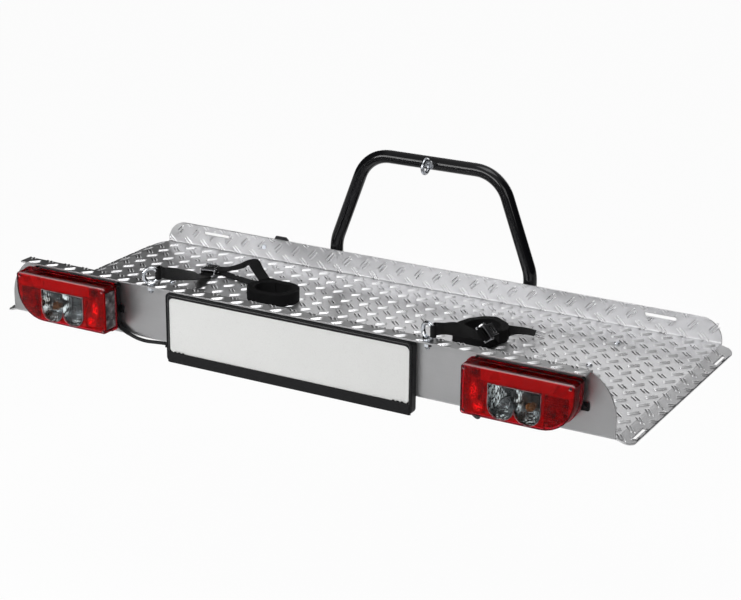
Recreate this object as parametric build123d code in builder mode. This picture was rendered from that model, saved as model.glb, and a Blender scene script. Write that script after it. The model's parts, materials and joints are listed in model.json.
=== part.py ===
from build123d import *
import math
import os

os.makedirs("parts", exist_ok=True)

# Hitch cargo platform. Millimetres, +Z up, +X to the right seen from the lamps, -Y towards the lamps.
# The origin is the centre of the tow ball that carries the platform.

# Deck tray, one folded tread plate
sheet = 3.0
bend_r = 3.0
deck_length = 1302.0
deck_depth = 538.0
front_height = 121.0
front_corner_r = 89.0
eave_reach = 30.0
eave_length = 1208.0
rear_height = 51.0
rear_corner_r = 45.0
lip_reach = 29.0
lip_drop = 8.5
lip_corner_r = 26.0
lip_bend_r = 30.0
lip_bend_start = 12.0
lip_slot_out = 21.0
lip_slot_length = 54.0
lip_slot_width = 6.0
lip_front_slot = 57.0
lip_rear_slot = 71.0
lip_front_hole = 178.0
lip_rear_hole = 145.0
lip_hole = 7.0
wall_slot_x = 523.0
wall_slot_up = 35.5
wall_slot_length = 66.0
wall_slot_width = 7.0
cut_depth = 60.0

# Tow ball and its place under the deck
ball_r = 25.0
ball_behind_wall = 149.0
ball_below_deck = 100.0

# Carrier frame
tube = 40.0
tube_wall = 2.5
tube_corner_r = 4.0
tube_bore_corner_r = 1.5
tube_end = 500.0
screw_x = 475.0
rear_tube_to_wall = 101.0
tube_spacing = 136.4
rail_spacing = 458.0
rail_front = 32.0
rear_beam_depth = 40.0
rail_past_hoop = 45.0
hinge_past_hoop = 67.0

# Hoop
hoop_d = 28.0
hoop_wall = 2.0
hoop_behind_wall = 24.0
hoop_top = 267.6
hoop_top_width = 306.6
hoop_kink = 65.0
hoop_top_r = 77.0
hoop_kink_r = 90.0
socket_wall = 3.0
socket_height = 45.0

# Eye bolts, M8 ring pattern
eye_wire_r = 4.0
eye_ring_r = 14.0
eye_collar_d = 20.0
eye_collar_h = 5.0
eye_shank_d = 8.0
eye_shank_below = 16.0
eave_eye_x = 298.0
eave_eye_in = 17.0
left_eye_turn = 36.0
right_eye_turn = -22.0

# Number plate and its holder
plate_length = 520.0
plate_height = 110.0
plate_thick = 1.0
plate_corner_r = 10.0
plate_bottom = -10.0
holder_side = 7.0
holder_top = 10.8
holder_bottom = 21.0
holder_depth = 12.8
holder_rim = 2.8
holder_wall = 3.0

# Lamps
lamp_inner_x = 380.0
lamp_width = 218.0
lamp_height = 96.5
lamp_bottom = 12.5
lamp_base_depth = 18.0
lamp_depth = 56.0
lamp_corner_r = 8.0
lamp_big_r = 64.0
lens_wall = 2.5
lens_edge_r = 1.2
base_inset = 6.0
window_in = 55.0
window_width = 100.0
window_top = 68.0
window_low = 4.5
lamp_screw_z = 52.0
bulb_r = 9.0

# Straps
web_width = 25.0
web_thick = 1.8
cable_d = 7.0

# Screws: M5 for the small pieces, M6 for the deck and M8 for the frame
small_screw_r = 2.5
small_hex_r = 4.6
small_nut_h = 4.0
deck_head_r = 6.5
deck_head_h = 3.6
deck_dome_r = 3.2
deck_hex_r = 5.8
deck_nut_h = 5.0
deck_thread_below = 8.0
frame_hex_r = 7.5
frame_head_h = 5.3
frame_nut_h = 6.5
washer_r = 8.0
washer_thick = 1.6

# Clearances
fit = 0.3
slip = 0.1
play = 0.2

front_y = -(ball_behind_wall + sheet + deck_depth)
deck_z = ball_below_deck
half_length = deck_length / 2
wall_y = front_y + deck_depth


def behind(distance):
    """The Y of a point that far behind the front plate's outer face."""
    return front_y + distance


def before_wall(distance):
    """The Y of a point that far in front of the rear wall's inner face."""
    return wall_y - distance


def above(height):
    """The Z of a point that far above the deck's underside."""
    return deck_z + height


def save(builder, name):
    """Labels a finished piece and writes its file."""
    builder.part.label = name
    export_step(builder.part, f"parts/{name}.step")


# Places that several pieces share
rear_tube_y = wall_y - rear_tube_to_wall
front_tube_y = rear_tube_y - tube_spacing
rail_x = rail_spacing / 2
rail_top = deck_z - tube
rail_bottom = rail_top - tube
rail_y0 = front_tube_y - rail_front
hoop_y = wall_y + sheet + hoop_behind_wall
rail_y1 = hoop_y + rail_past_hoop
hinge_y = hoop_y + hinge_past_hoop
hinge_z = rail_top - tube / 2
deck_top = deck_z + sheet
eye_ring_z = above(front_height) + eye_ring_r + eye_wire_r
eave_eye_y = front_y - eave_eye_in
screw_d = 6.0
slot_z = above(wall_slot_up)

bracket_screw_place = (-397, above(29.4))

# Deck tray
mid_fold = bend_r + sheet / 2
with BuildPart() as deck_tray:
    with BuildSketch(Plane.YZ.offset(-half_length)):
        with BuildLine():
            FilletPolyline(
                (front_y - eave_reach, above(front_height) - sheet / 2),
                (front_y + sheet / 2, above(front_height) - sheet / 2),
                (front_y + sheet / 2, deck_z + sheet / 2),
                (wall_y + sheet / 2, deck_z + sheet / 2),
                (wall_y + sheet / 2, above(rear_height)),
                radius=mid_fold,
            )
        trace(line_width=sheet)
    extrude(amount=deck_length)
    # End lips, bent outwards and down
    with BuildSketch(Plane.XZ.offset(-front_y - mid_fold)):
        for side in (-1, 1):
            with BuildLine():
                FilletPolyline(
                    (side * (half_length - lip_bend_start), deck_z + sheet / 2),
                    (side * half_length, deck_z + sheet / 2),
                    (side * (half_length + lip_reach), deck_z + sheet / 2 - lip_drop),
                    radius=lip_bend_r,
                )
            trace(line_width=sheet)
    extrude(amount=-(deck_depth - 2 * mid_fold))
    with BuildSketch(Plane.XY.offset(deck_z - cut_depth / 2)):
        for side in (-1, 1):
            lip_x = side * (half_length + lip_reach - lip_corner_r)
            for corner_y, way in ((front_y, 1), (wall_y, -1)):
                centre = (lip_x, corner_y + way * lip_corner_r)
                with Locations((lip_x + side * lip_corner_r, corner_y)):
                    Rectangle(2 * lip_corner_r, 2 * lip_corner_r)
                with Locations(centre):
                    Circle(lip_corner_r, mode=Mode.SUBTRACT)
                with Locations((side * (half_length - 100 + 1), corner_y)):
                    Rectangle(200, 4 * lip_corner_r, mode=Mode.SUBTRACT)
    extrude(amount=cut_depth, mode=Mode.SUBTRACT)
    # The eave is shorter than the plate
    with BuildSketch(Plane.XY.offset(above(front_height) - 20)):
        for side in (-1, 1):
            with Locations((side * (eave_length + 120) / 2, front_y - 25)):
                Rectangle(120, 50)
    extrude(amount=25, mode=Mode.SUBTRACT)
    # Round top corners of the front plate
    with BuildSketch(Plane.XZ.offset(-front_y)):
        for side in (-1, 1):
            corner_x = side * (half_length - front_corner_r)
            corner_z = above(front_height + 4 - front_corner_r)
            with Locations((corner_x + side * front_corner_r, corner_z + front_corner_r)):
                Rectangle(2 * front_corner_r, 2 * front_corner_r)
            with Locations((corner_x, corner_z)):
                Circle(front_corner_r, mode=Mode.SUBTRACT)
    extrude(amount=-2 * mid_fold, mode=Mode.SUBTRACT)
    # Round top corners of the rear wall
    with BuildSketch(Plane.XZ.offset(-wall_y + mid_fold)):
        for side in (-1, 1):
            corner_x = side * (half_length - rear_corner_r)
            corner_z = above(rear_height - rear_corner_r)
            with Locations((corner_x + side * rear_corner_r / 2, corner_z + rear_corner_r)):
                Rectangle(rear_corner_r, 2 * rear_corner_r)
            with Locations((corner_x, corner_z)):
                Circle(rear_corner_r, mode=Mode.SUBTRACT)
    extrude(amount=-3 * mid_fold, mode=Mode.SUBTRACT)
    # Lashing slots and the small square holes of the lips
    with BuildSketch(Plane.XY.offset(deck_z - cut_depth / 2)):
        for side in (-1, 1):
            lip_x = side * (half_length + lip_slot_out)
            with Locations((lip_x, front_y + lip_front_slot), (lip_x, wall_y - lip_rear_slot)):
                SlotOverall(lip_slot_length, lip_slot_width, rotation=90)
            with Locations((lip_x, front_y + lip_front_hole), (lip_x, wall_y - lip_rear_hole)):
                Rectangle(lip_hole, lip_hole)
    extrude(amount=cut_depth, mode=Mode.SUBTRACT)
    # Slots of the rear wall
    with BuildSketch(Plane.XZ.offset(-wall_y + 1)):
        with Locations((-wall_slot_x, slot_z), (wall_slot_x, slot_z)):
            SlotOverall(wall_slot_length, wall_slot_width)
        with Locations(bracket_screw_place):
            Circle(small_screw_r + fit)
    extrude(amount=-sheet - 2, mode=Mode.SUBTRACT)
    # Screw holes of the floor
    deck_screw_places = [(s * screw_x, y) for s in (-1, 1) for y in (front_tube_y, rear_tube_y)]
    with BuildSketch(Plane.XY.offset(deck_z - 1)):
        with Locations(*deck_screw_places):
            Circle(screw_d / 2 + fit)
    extrude(amount=sheet + 2, mode=Mode.SUBTRACT)
    # Eye bolt holes of the eave
    with BuildSketch(Plane.XY.offset(above(front_height) - sheet - 1)):
        with Locations((-eave_eye_x, eave_eye_y), (eave_eye_x, eave_eye_y)):
            Circle(eye_shank_d / 2 + slip)
    extrude(amount=sheet + 2, mode=Mode.SUBTRACT)
    # Lamp and holder screw holes of the front plate
    lamp_bolt_x = [lamp_inner_x + 2, lamp_inner_x + lamp_width - 4]
    holder_screw_x = [-200, 200]
    with BuildSketch(Plane.XZ.offset(-front_y + 1)):
        with Locations(*[(s * x, above(lamp_screw_z)) for s in (-1, 1) for x in lamp_bolt_x]):
            Circle(small_screw_r + fit)
        with Locations(*[(x, above(z)) for x in holder_screw_x for z in (25, 85)]):
            Circle(small_screw_r + fit)
    extrude(amount=-sheet - 2, mode=Mode.SUBTRACT)
save(deck_tray, "deck_tray")

# Dome head screws that hold the deck to the cross tubes, and their washers and nuts
with BuildPart() as deck_screws:
    with BuildSketch(Plane.XY.offset(rail_top - deck_thread_below)):
        with Locations(*deck_screw_places):
            Circle(screw_d / 2)
    extrude(amount=tube + sheet + deck_thread_below)
    with BuildSketch(Plane.XY.offset(deck_top)):
        with Locations(*deck_screw_places):
            Circle(deck_head_r)
    extrude(amount=deck_head_h)
    fillet(deck_screws.edges().group_by(Axis.Z)[-1], radius=deck_dome_r)
save(deck_screws, "deck_screws")

with BuildPart() as deck_nuts:
    with BuildSketch(Plane.XY.offset(rail_top - washer_thick)):
        with Locations(*deck_screw_places):
            Circle(washer_r)
            Circle(screw_d / 2 + slip, mode=Mode.SUBTRACT)
    extrude(amount=washer_thick)
    with BuildSketch(Plane.XY.offset(rail_top - washer_thick - deck_nut_h)):
        with Locations(*deck_screw_places):
            RegularPolygon(deck_hex_r, 6)
            Circle(screw_d / 2 + slip, mode=Mode.SUBTRACT)
    extrude(amount=deck_nut_h)
save(deck_nuts, "deck_nuts")

# Cross tubes under the deck
tube_bore = tube - 2 * tube_wall
rail_bolt_r = 4.0
rail_nut_r = 5.5
for name, tube_y in (("front_cross_tube", front_tube_y), ("rear_cross_tube", rear_tube_y)):
    with BuildPart() as cross_tube:
        with BuildSketch(Plane.YZ.offset(-tube_end)):
            with Locations((tube_y, deck_z - tube / 2)):
                RectangleRounded(tube, tube, tube_corner_r)
                RectangleRounded(tube_bore, tube_bore, tube_bore_corner_r, mode=Mode.SUBTRACT)
        extrude(amount=2 * tube_end)
        with BuildSketch(Plane.XY.offset(rail_top - 1)):
            with Locations((-screw_x, tube_y), (screw_x, tube_y)):
                Circle(screw_d / 2 + fit)
        extrude(amount=tube + 2, mode=Mode.SUBTRACT)
        with BuildSketch(Plane.XY.offset(rail_top - 1)):
            with Locations((-rail_x, tube_y), (rail_x, tube_y)):
                Circle(rail_nut_r + slip)
        extrude(amount=tube_wall + 2, mode=Mode.SUBTRACT)
    save(cross_tube, name)

# Rails from the front cross tube back to the hoop
for name, side in (("left_rail", -1), ("right_rail", 1)):
    with BuildPart() as rail:
        with BuildSketch(Plane.XZ.offset(-rail_y0)):
            with Locations((side * rail_x, rail_top - tube / 2)):
                RectangleRounded(tube, tube, tube_corner_r)
                RectangleRounded(tube_bore, tube_bore, tube_bore_corner_r, mode=Mode.SUBTRACT)
        extrude(amount=-(rail_y1 - rail_y0))
        with BuildSketch(Plane.XY.offset(rail_bottom - 1)):
            with Locations((side * rail_x, front_tube_y), (side * rail_x, rear_tube_y)):
                Circle(rail_bolt_r + fit)
        extrude(amount=tube + 2, mode=Mode.SUBTRACT)
    save(rail, name)

# Plastic caps in the ends of the cross tubes and the rails
cap_side = tube_bore - 2 * slip
cap_thick = 3.0
cap_depth = 12.0
cap_ends = [
    Plane((s * tube_end, y, deck_z - tube / 2), x_dir=(0, 1, 0), z_dir=(s, 0, 0))
    for s in (-1, 1)
    for y in (front_tube_y, rear_tube_y)
]
cap_ends += [
    Plane((s * rail_x, y, rail_top - tube / 2), x_dir=(1, 0, 0), z_dir=(0, way, 0))
    for s in (-1, 1)
    for y, way in ((rail_y0, -1), (rail_y1, 1))
]
with BuildPart() as end_caps:
    for cap_end in cap_ends:
        with BuildSketch(cap_end):
            RectangleRounded(tube, tube, tube_corner_r)
        extrude(amount=cap_thick)
        with BuildSketch(cap_end):
            RectangleRounded(cap_side, cap_side, cap_thick - 1)
            Rectangle(cap_side - 2 * cap_thick, cap_side - 2 * cap_thick, mode=Mode.SUBTRACT)
        extrude(amount=-cap_depth)
save(end_caps, "end_caps")

# Bolts that come up through the rails into rivet nuts in the cross tubes
rail_bolt_places = [(s * rail_x, y) for s in (-1, 1) for y in (front_tube_y, rear_tube_y)]
with BuildPart() as rail_bolts:
    with BuildSketch(Plane.XY.offset(rail_bottom)):
        with Locations(*rail_bolt_places):
            Circle(rail_bolt_r)
    extrude(amount=tube + 14)
    with BuildSketch(Plane.XY.offset(rail_bottom - frame_head_h)):
        with Locations(*rail_bolt_places):
            RegularPolygon(frame_hex_r, 6)
    extrude(amount=frame_head_h)
save(rail_bolts, "rail_bolts")

with BuildPart() as rail_nuts:
    with BuildSketch(Plane.XY.offset(rail_top)):
        with Locations(*rail_bolt_places):
            Circle(rail_nut_r)
            Circle(rail_bolt_r + slip, mode=Mode.SUBTRACT)
    extrude(amount=16)
    with BuildSketch(Plane.XY.offset(rail_top + tube_wall)):
        with Locations(*rail_bolt_places):
            Circle(rail_nut_r + 2)
            Circle(rail_bolt_r + slip, mode=Mode.SUBTRACT)
    extrude(amount=4)
save(rail_nuts, "rail_nuts")

# Rear beam between the rails, with the two ears of the tilt hinge
ear_gap = 48.0
ear_thick = 8.0
ear_r = 18.0
ear_foot = 6.0
tilt_bolt_r = 6.0
beam_bore = rear_beam_depth - 2 * tube_wall
with BuildPart() as hinge_beam:
    with BuildSketch(Plane.YZ.offset(-rail_x + tube / 2)):
        with Locations((rail_y1 - rear_beam_depth / 2, hinge_z)):
            RectangleRounded(rear_beam_depth, tube, tube_corner_r)
            RectangleRounded(beam_bore, tube_bore, tube_bore_corner_r, mode=Mode.SUBTRACT)
    extrude(amount=rail_spacing - tube)
    for side in (-1, 1):
        with BuildSketch(Plane.YZ.offset(side * ear_gap)):
            with Locations((hinge_y, hinge_z)):
                Circle(ear_r)
            with Locations(((hinge_y + rail_y1) / 2 - 1, hinge_z)):
                Rectangle(hinge_y - rail_y1 + 2, 2 * ear_r)
            with Locations((rail_y1 + ear_foot / 2, hinge_z)):
                Rectangle(ear_foot, tube - 2)
            with Locations((hinge_y, hinge_z)):
                Circle(tilt_bolt_r + slip, mode=Mode.SUBTRACT)
        extrude(amount=side * ear_thick)
save(hinge_beam, "hinge_beam")

# Hoop of round tube, leaning in above its kinks
with BuildPart() as hoop:
    with BuildLine(Plane.XZ.offset(-hoop_y)):
        FilletPolyline(
            (-rail_x, rail_top + fit),
            (-rail_x, above(hoop_kink)),
            (-hoop_top_width / 2, above(hoop_top)),
            (hoop_top_width / 2, above(hoop_top)),
            (rail_x, above(hoop_kink)),
            (rail_x, rail_top + fit),
            radius=[hoop_kink_r, hoop_top_r, hoop_top_r, hoop_kink_r],
        )
    with BuildSketch(Plane((-rail_x, hoop_y, rail_top + fit))):
        Circle(hoop_d / 2)
        Circle(hoop_d / 2 - hoop_wall, mode=Mode.SUBTRACT)
    sweep()
    with BuildSketch(Plane((0, hoop_y, above(hoop_top)), x_dir=(1, 0, 0), z_dir=(0, -1, 0))):
        Circle(eye_shank_d / 2 + slip)
    extrude(amount=hoop_d, both=True, mode=Mode.SUBTRACT)
save(hoop, "hoop")

# Sockets on the rails for the hoop's legs, with a boss for the clamp screw
socket_r = hoop_d / 2 + fit
socket_screw_z = rail_top + 22
boss_r = 8.0
boss_length = 8.0
socket_foot = 52.0
screw_out = fit + socket_wall + boss_length + 3
with BuildPart() as hoop_sockets:
    for side in (-1, 1):
        with BuildSketch(Plane((side * rail_x, hoop_y, rail_top))):
            Circle(socket_r + socket_wall)
            Circle(socket_r, mode=Mode.SUBTRACT)
        extrude(amount=socket_height)
        with BuildSketch(Plane((side * rail_x, hoop_y, rail_top))):
            RectangleRounded(tube, socket_foot, 2 * socket_wall)
            Circle(socket_r, mode=Mode.SUBTRACT)
        extrude(amount=socket_wall)
        boss = Plane((side * rail_x, hoop_y, socket_screw_z), x_dir=(1, 0, 0), z_dir=(0, 1, 0))
        with BuildSketch(boss.offset(socket_r + 1)):
            Circle(boss_r)
        extrude(amount=socket_wall + boss_length - 1)
        with BuildSketch(boss):
            Circle(eye_shank_d / 2 + slip)
        extrude(amount=socket_r + socket_wall + boss_length + 1, mode=Mode.SUBTRACT)
save(hoop_sockets, "hoop_sockets")

with BuildPart() as hoop_screws:
    for side in (-1, 1):
        tip = Plane((side * rail_x, hoop_y + hoop_d / 2, socket_screw_z), x_dir=(1, 0, 0), z_dir=(0, 1, 0))
        with BuildSketch(tip.offset(slip)):
            Circle(eye_shank_d / 2)
        extrude(amount=screw_out)
        with BuildSketch(tip.offset(screw_out)):
            RegularPolygon(frame_hex_r, 6)
        extrude(amount=frame_head_h)
save(hoop_screws, "hoop_screws")


def eye_bolt(seat, shank, turn):
    """Adds a ring on a collar and a shank; the seat's normal points out along the ring."""
    with BuildSketch(seat) as collar:
        Circle(eye_collar_d / 2)
    extrude(collar.sketch, amount=eye_collar_h)
    with BuildSketch(seat) as stem:
        Circle(eye_shank_d / 2)
    extrude(stem.sketch, amount=-shank)
    ring = Plane(seat.origin + seat.z_dir * (eye_ring_r + eye_wire_r), x_dir=seat.z_dir, z_dir=turn)
    with Locations(ring):
        Torus(eye_ring_r, eye_wire_r)


def washer_and_nut(seat):
    """Adds a washer and a hexagon nut that lie against the seat."""
    with BuildSketch(seat) as washer:
        Circle(washer_r)
        Circle(eye_shank_d / 2 + slip, mode=Mode.SUBTRACT)
    extrude(washer.sketch, amount=washer_thick)
    with BuildSketch(seat.offset(washer_thick + slip)) as nut:
        RegularPolygon(frame_hex_r, 6)
        Circle(eye_shank_d / 2 + slip, mode=Mode.SUBTRACT)
    extrude(nut.sketch, amount=frame_nut_h)


left_ring_normal = (-math.sin(math.radians(left_eye_turn)), math.cos(math.radians(left_eye_turn)), 0)
right_ring_normal = (-math.sin(math.radians(right_eye_turn)), math.cos(math.radians(right_eye_turn)), 0)
hoop_front = Plane((0, hoop_y - hoop_d / 2, above(hoop_top)), x_dir=(1, 0, 0), z_dir=(0, -1, 0))
with BuildPart() as eye_bolts:
    for side, turn in ((-1, left_ring_normal), (1, right_ring_normal)):
        eye_bolt(Plane((side * eave_eye_x, eave_eye_y, above(front_height))), eye_shank_below, turn)
    eye_bolt(hoop_front, hoop_d + eye_shank_below, (1, 0, 0))
save(eye_bolts, "eye_bolts")

with BuildPart() as eye_nuts:
    for side in (-1, 1):
        place = (side * eave_eye_x, eave_eye_y, above(front_height) - sheet)
        washer_and_nut(Plane(place, x_dir=(1, 0, 0), z_dir=(0, 0, -1)))
    washer_and_nut(Plane((0, hoop_y + hoop_d / 2, above(hoop_top)), x_dir=(1, 0, 0), z_dir=(0, 1, 0)))
save(eye_nuts, "eye_nuts")

# Bracket behind the rear wall with a cup that parks the plug
wall_back = wall_y + sheet
bracket_sheet = 3.0
bracket_low = -22.0
cup_x = -357.0
cup_y = wall_back + bracket_sheet + 27
cup_r = 23.0
cup_wall = 3.0
cup_height = 35.0
plug_rim = 12.0
plug_nose = 31.0
plug_neck_r = 9.0
plug_boot_r = 6.0
with BuildPart() as plug_bracket:
    with BuildSketch(Plane.XZ.offset(-wall_back)):
        with BuildLine():
            Polyline(
                (-412, above(14)),
                (-412, above(44)),
                (-377, above(44)),
                (-369, above(57.7)),
                (-344, above(57.7)),
                (-338, above(52.4)),
                (-338, above(bracket_low)),
                (-376, above(bracket_low)),
                (-376, above(14)),
                close=True,
            )
        make_face()
        with Locations(bracket_screw_place):
            Circle(small_screw_r + slip, mode=Mode.SUBTRACT)
    extrude(amount=-bracket_sheet)
    with BuildSketch(Plane.XY.offset(above(bracket_low))):
        with Locations((cup_x, cup_y)):
            Circle(cup_r + cup_wall)
        with Locations((cup_x, wall_back + bracket_sheet + 6)):
            Rectangle(30, 12)
    extrude(amount=cup_height)
    with BuildSketch(Plane.XY.offset(above(bracket_low))):
        with Locations((cup_x, cup_y)):
            Circle(cup_r)
    extrude(amount=cup_height - cup_wall, mode=Mode.SUBTRACT)
save(plug_bracket, "plug_bracket")

with BuildPart() as bracket_screw:
    with BuildSketch(Plane.XZ.offset(-wall_y)):
        with Locations(bracket_screw_place):
            Circle(5)
    extrude(amount=2.6)
    with BuildSketch(Plane.XZ.offset(-wall_y)):
        with Locations(bracket_screw_place):
            Circle(small_screw_r)
    extrude(amount=-sheet - bracket_sheet - 6)
    with BuildSketch(Plane.XZ.offset(-wall_back - bracket_sheet)):
        with Locations(bracket_screw_place):
            RegularPolygon(small_hex_r, 6)
    extrude(amount=-small_nut_h)
save(bracket_screw, "bracket_screw")

# Plug parked face up in the cup, with its lead's boot below
plug_boot_end = above(-72)
with BuildPart() as plug:
    with BuildSketch(Plane((cup_x, cup_y, above(bracket_low - fit)), x_dir=(1, 0, 0), z_dir=(0, 0, -1))):
        Circle(cup_r + 2)
    extrude(amount=plug_rim)
    fillet(plug.edges().group_by(Axis.Z)[0], radius=3)
    with BuildSketch(Plane((cup_x, cup_y, above(-24)))):
        Circle(cup_r - fit)
    extrude(amount=plug_nose)
    with BuildSketch(Plane((cup_x, cup_y, above(-34)))):
        Circle(2 * plug_neck_r)
    with BuildSketch(Plane((cup_x, cup_y, above(-60)))):
        Circle(plug_neck_r)
    loft()
    with BuildSketch(Plane((cup_x, cup_y, plug_boot_end))):
        Circle(plug_boot_r)
    extrude(amount=14)
save(plug, "plug")

# Junction box under the deck, with a gland for each cable
box_x = -250.0
box_y = behind(100)
box_width = 80.0
box_length = 80.0
box_height = 30.0
box_corner_r = 6.0
box_wall = 2.5
gland_r = 6.0
gland_length = 8.0
box_mid_z = deck_z - box_height / 2
with BuildPart() as junction_box:
    with BuildSketch(Plane((box_x, box_y, deck_z - box_height))):
        RectangleRounded(box_width, box_length, box_corner_r)
    extrude(amount=box_height)
    with BuildSketch(Plane((box_x, box_y, deck_z - box_height + 3))):
        RectangleRounded(box_width - 2 * box_wall, box_length - 2 * box_wall, box_corner_r - 2)
    extrude(amount=box_height - 2 * box_wall, mode=Mode.SUBTRACT)
    left_gland = Plane((box_x - 20, box_y - box_length / 2, box_mid_z), x_dir=(1, 0, 0), z_dir=(0, -1, 0))
    right_gland = Plane((box_x + box_width / 2, box_y, box_mid_z), x_dir=(0, 1, 0), z_dir=(1, 0, 0))
    plug_gland = Plane((box_x, box_y + box_length / 2, box_mid_z), x_dir=(1, 0, 0), z_dir=(0, 1, 0))
    for gland in (left_gland, right_gland, plug_gland):
        with BuildSketch(gland):
            Circle(gland_r)
        extrude(amount=gland_length)
save(junction_box, "junction_box")


def corner_radii(points):
    """Works out each corner's radius as 0.45 of its shorter run over the tangent of half its turn."""
    radii = []
    for before, here, after in zip(points, points[1:], points[2:]):
        run_in = Vector(*here) - Vector(*before)
        run_out = Vector(*after) - Vector(*here)
        turn = math.radians(run_in.get_angle(run_out))
        radii.append(0.45 * min(run_in.length, run_out.length) / math.tan(turn / 2))
    return radii


def cable(name, points):
    """Makes a cable's node and prints its radii and how its volume compares with its length."""
    radii = corner_radii(points)
    first_run = Vector(*points[1]) - Vector(*points[0])
    with BuildLine() as route:
        FilletPolyline(*points, radius=radii)
    with BuildSketch(Plane(points[0], z_dir=first_run.normalized())) as section:
        Circle(cable_d / 2)
    with BuildPart() as lead:
        sweep(section.sketch, path=route.line)
    length = sum(edge.length for edge in route.edges())
    ideal = math.pi * cable_d**2 / 4 * length
    print(name, "radii", [round(r) for r in radii], "length", round(length))
    print(name, "volume over section times length", round(lead.part.volume / ideal, 4))
    save(lead, name)


# Left lamp cable, from the lamp's gland round the plate's lower bend to the junction box
left_route = [
    (-380, behind(-6), above(14.4)),
    (-368, behind(-6), above(7)),
    (-355, behind(-6), above(2.2)),
    (-341, behind(-5), above(-2)),
    (-326, behind(1.5), above(-6.2)),
    (-311, behind(8), above(-7.2)),
    (-296, behind(14), above(-8.2)),
    (-281, behind(22), above(-11)),
    (box_x - 20, behind(36), box_mid_z),
    (box_x - 20, box_y - box_length / 2 - gland_length, box_mid_z),
]
cable("left_lamp_cable", left_route)

# Right lamp cable, down behind the lamp and along the deck's underside to the junction box
right_route = [
    (398, behind(-8), above(lamp_bottom + base_inset)),
    (398, behind(-8), above(4)),
    (396.5, behind(-5.5), above(-7)),
    (390, behind(2), above(-14)),
    (378, behind(13), above(-15.5)),
    (358, behind(28), above(-12)),
    (330, behind(44), above(-7.5)),
    (278, behind(62), above(-5.6)),
    (195, behind(76), above(-6.6)),
    (105, behind(83), above(-5.6)),
    (10, behind(92), above(-6.6)),
    (-75, behind(95), above(-5.8)),
    (-135, behind(98), above(-9)),
    (-176, box_y, box_mid_z),
    (box_x + box_width / 2 + gland_length, box_y, box_mid_z),
]
cable("right_lamp_cable", right_route)

# Plug lead, from the parked plug under the cross tubes to the junction box
plug_route = [
    (cup_x, cup_y, plug_boot_end),
    (cup_x, cup_y, above(-96)),
    (-356, before_wall(-19), above(-119)),
    (-353, before_wall(7), above(-131)),
    (-349, before_wall(36), above(-126)),
    (-345, before_wall(60), above(-106)),
    (-341, before_wall(75), above(-78)),
    (-336, before_wall(90), above(-56)),
    (-327, before_wall(120), above(-46.5)),
    (-310, before_wall(168), above(-44.6)),
    (-291, before_wall(217), above(-45.4)),
    (-277, before_wall(261), above(-44.6)),
    (-264, before_wall(300), above(-33)),
    (-254, behind(202), above(-19)),
    (box_x, behind(172), box_mid_z),
    (box_x, box_y + box_length / 2 + gland_length, box_mid_z),
]
cable("plug_lead", plug_route)

# Clips that hold the cables to the deck and to the cross tubes
clip_width = 13.0
clip_length = 8.0
clip_below = 2.0
clip_slack = 0.4
with BuildPart() as cable_clips:
    for route, run, ceiling in (
        (right_route, 7, deck_z),
        (right_route, 8, deck_z),
        (right_route, 10, deck_z),
        (left_route, 6, deck_z),
        (plug_route, 7, rail_top),
        (plug_route, 10, rail_top),
    ):
        first, second = Vector(*route[run]), Vector(*route[run + 1])
        middle = (first + second) / 2
        along = (second - first).normalized()
        across = along.cross(Vector(0, 0, 1)).normalized()
        slope = math.asin(abs(along.Z))
        rise = (ceiling - middle.Z - fit - clip_length / 2 * math.sin(slope)) / math.cos(slope)
        below = cable_d / 2 + clip_below
        with BuildSketch(Plane(middle, x_dir=across, z_dir=along)):
            with Locations((0, (below - rise) / 2)):
                Rectangle(clip_width, rise + below)
            Circle(cable_d / 2 + clip_slack, mode=Mode.SUBTRACT)
        extrude(amount=clip_length / 2, both=True)
save(cable_clips, "cable_clips")


def lamp_outline(side, inset):
    """Adds a lamp's outline, drawn in by the inset; its lower outer corner is the big one."""
    inner = side * (lamp_inner_x + inset)
    outer = side * (lamp_inner_x + lamp_width - inset)
    bottom = above(lamp_bottom + inset)
    top = above(lamp_bottom + lamp_height - inset)
    small = max(lamp_corner_r - inset, 2)
    with BuildLine() as outline:
        FilletPolyline(
            (inner, bottom),
            (outer, bottom),
            (outer, top),
            (inner, top),
            radius=[small, lamp_big_r - inset, small, small],
            close=True,
        )
    make_face(outline.edges())


def window_outline(side, grow):
    """Adds the clear window's outline: a flat top and two round lobes below."""
    lobe = window_width / 4
    left = side * (lamp_inner_x + window_in - grow)
    first = side * (lamp_inner_x + window_in + lobe)
    middle = side * (lamp_inner_x + window_in + 2 * lobe)
    second = side * (lamp_inner_x + window_in + 3 * lobe)
    right = side * (lamp_inner_x + window_in + 4 * lobe + grow)
    low = above(lamp_bottom + window_low - grow)
    spring = above(lamp_bottom + window_low + lobe)
    top = above(lamp_bottom + window_top + grow)
    with BuildLine() as outline:
        Polyline((left, spring), (left, top), (right, top), (right, spring))
        ThreePointArc((left, spring), (first, low), (middle, spring))
        ThreePointArc((middle, spring), (second, low), (right, spring))
    make_face(outline.edges())


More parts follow.
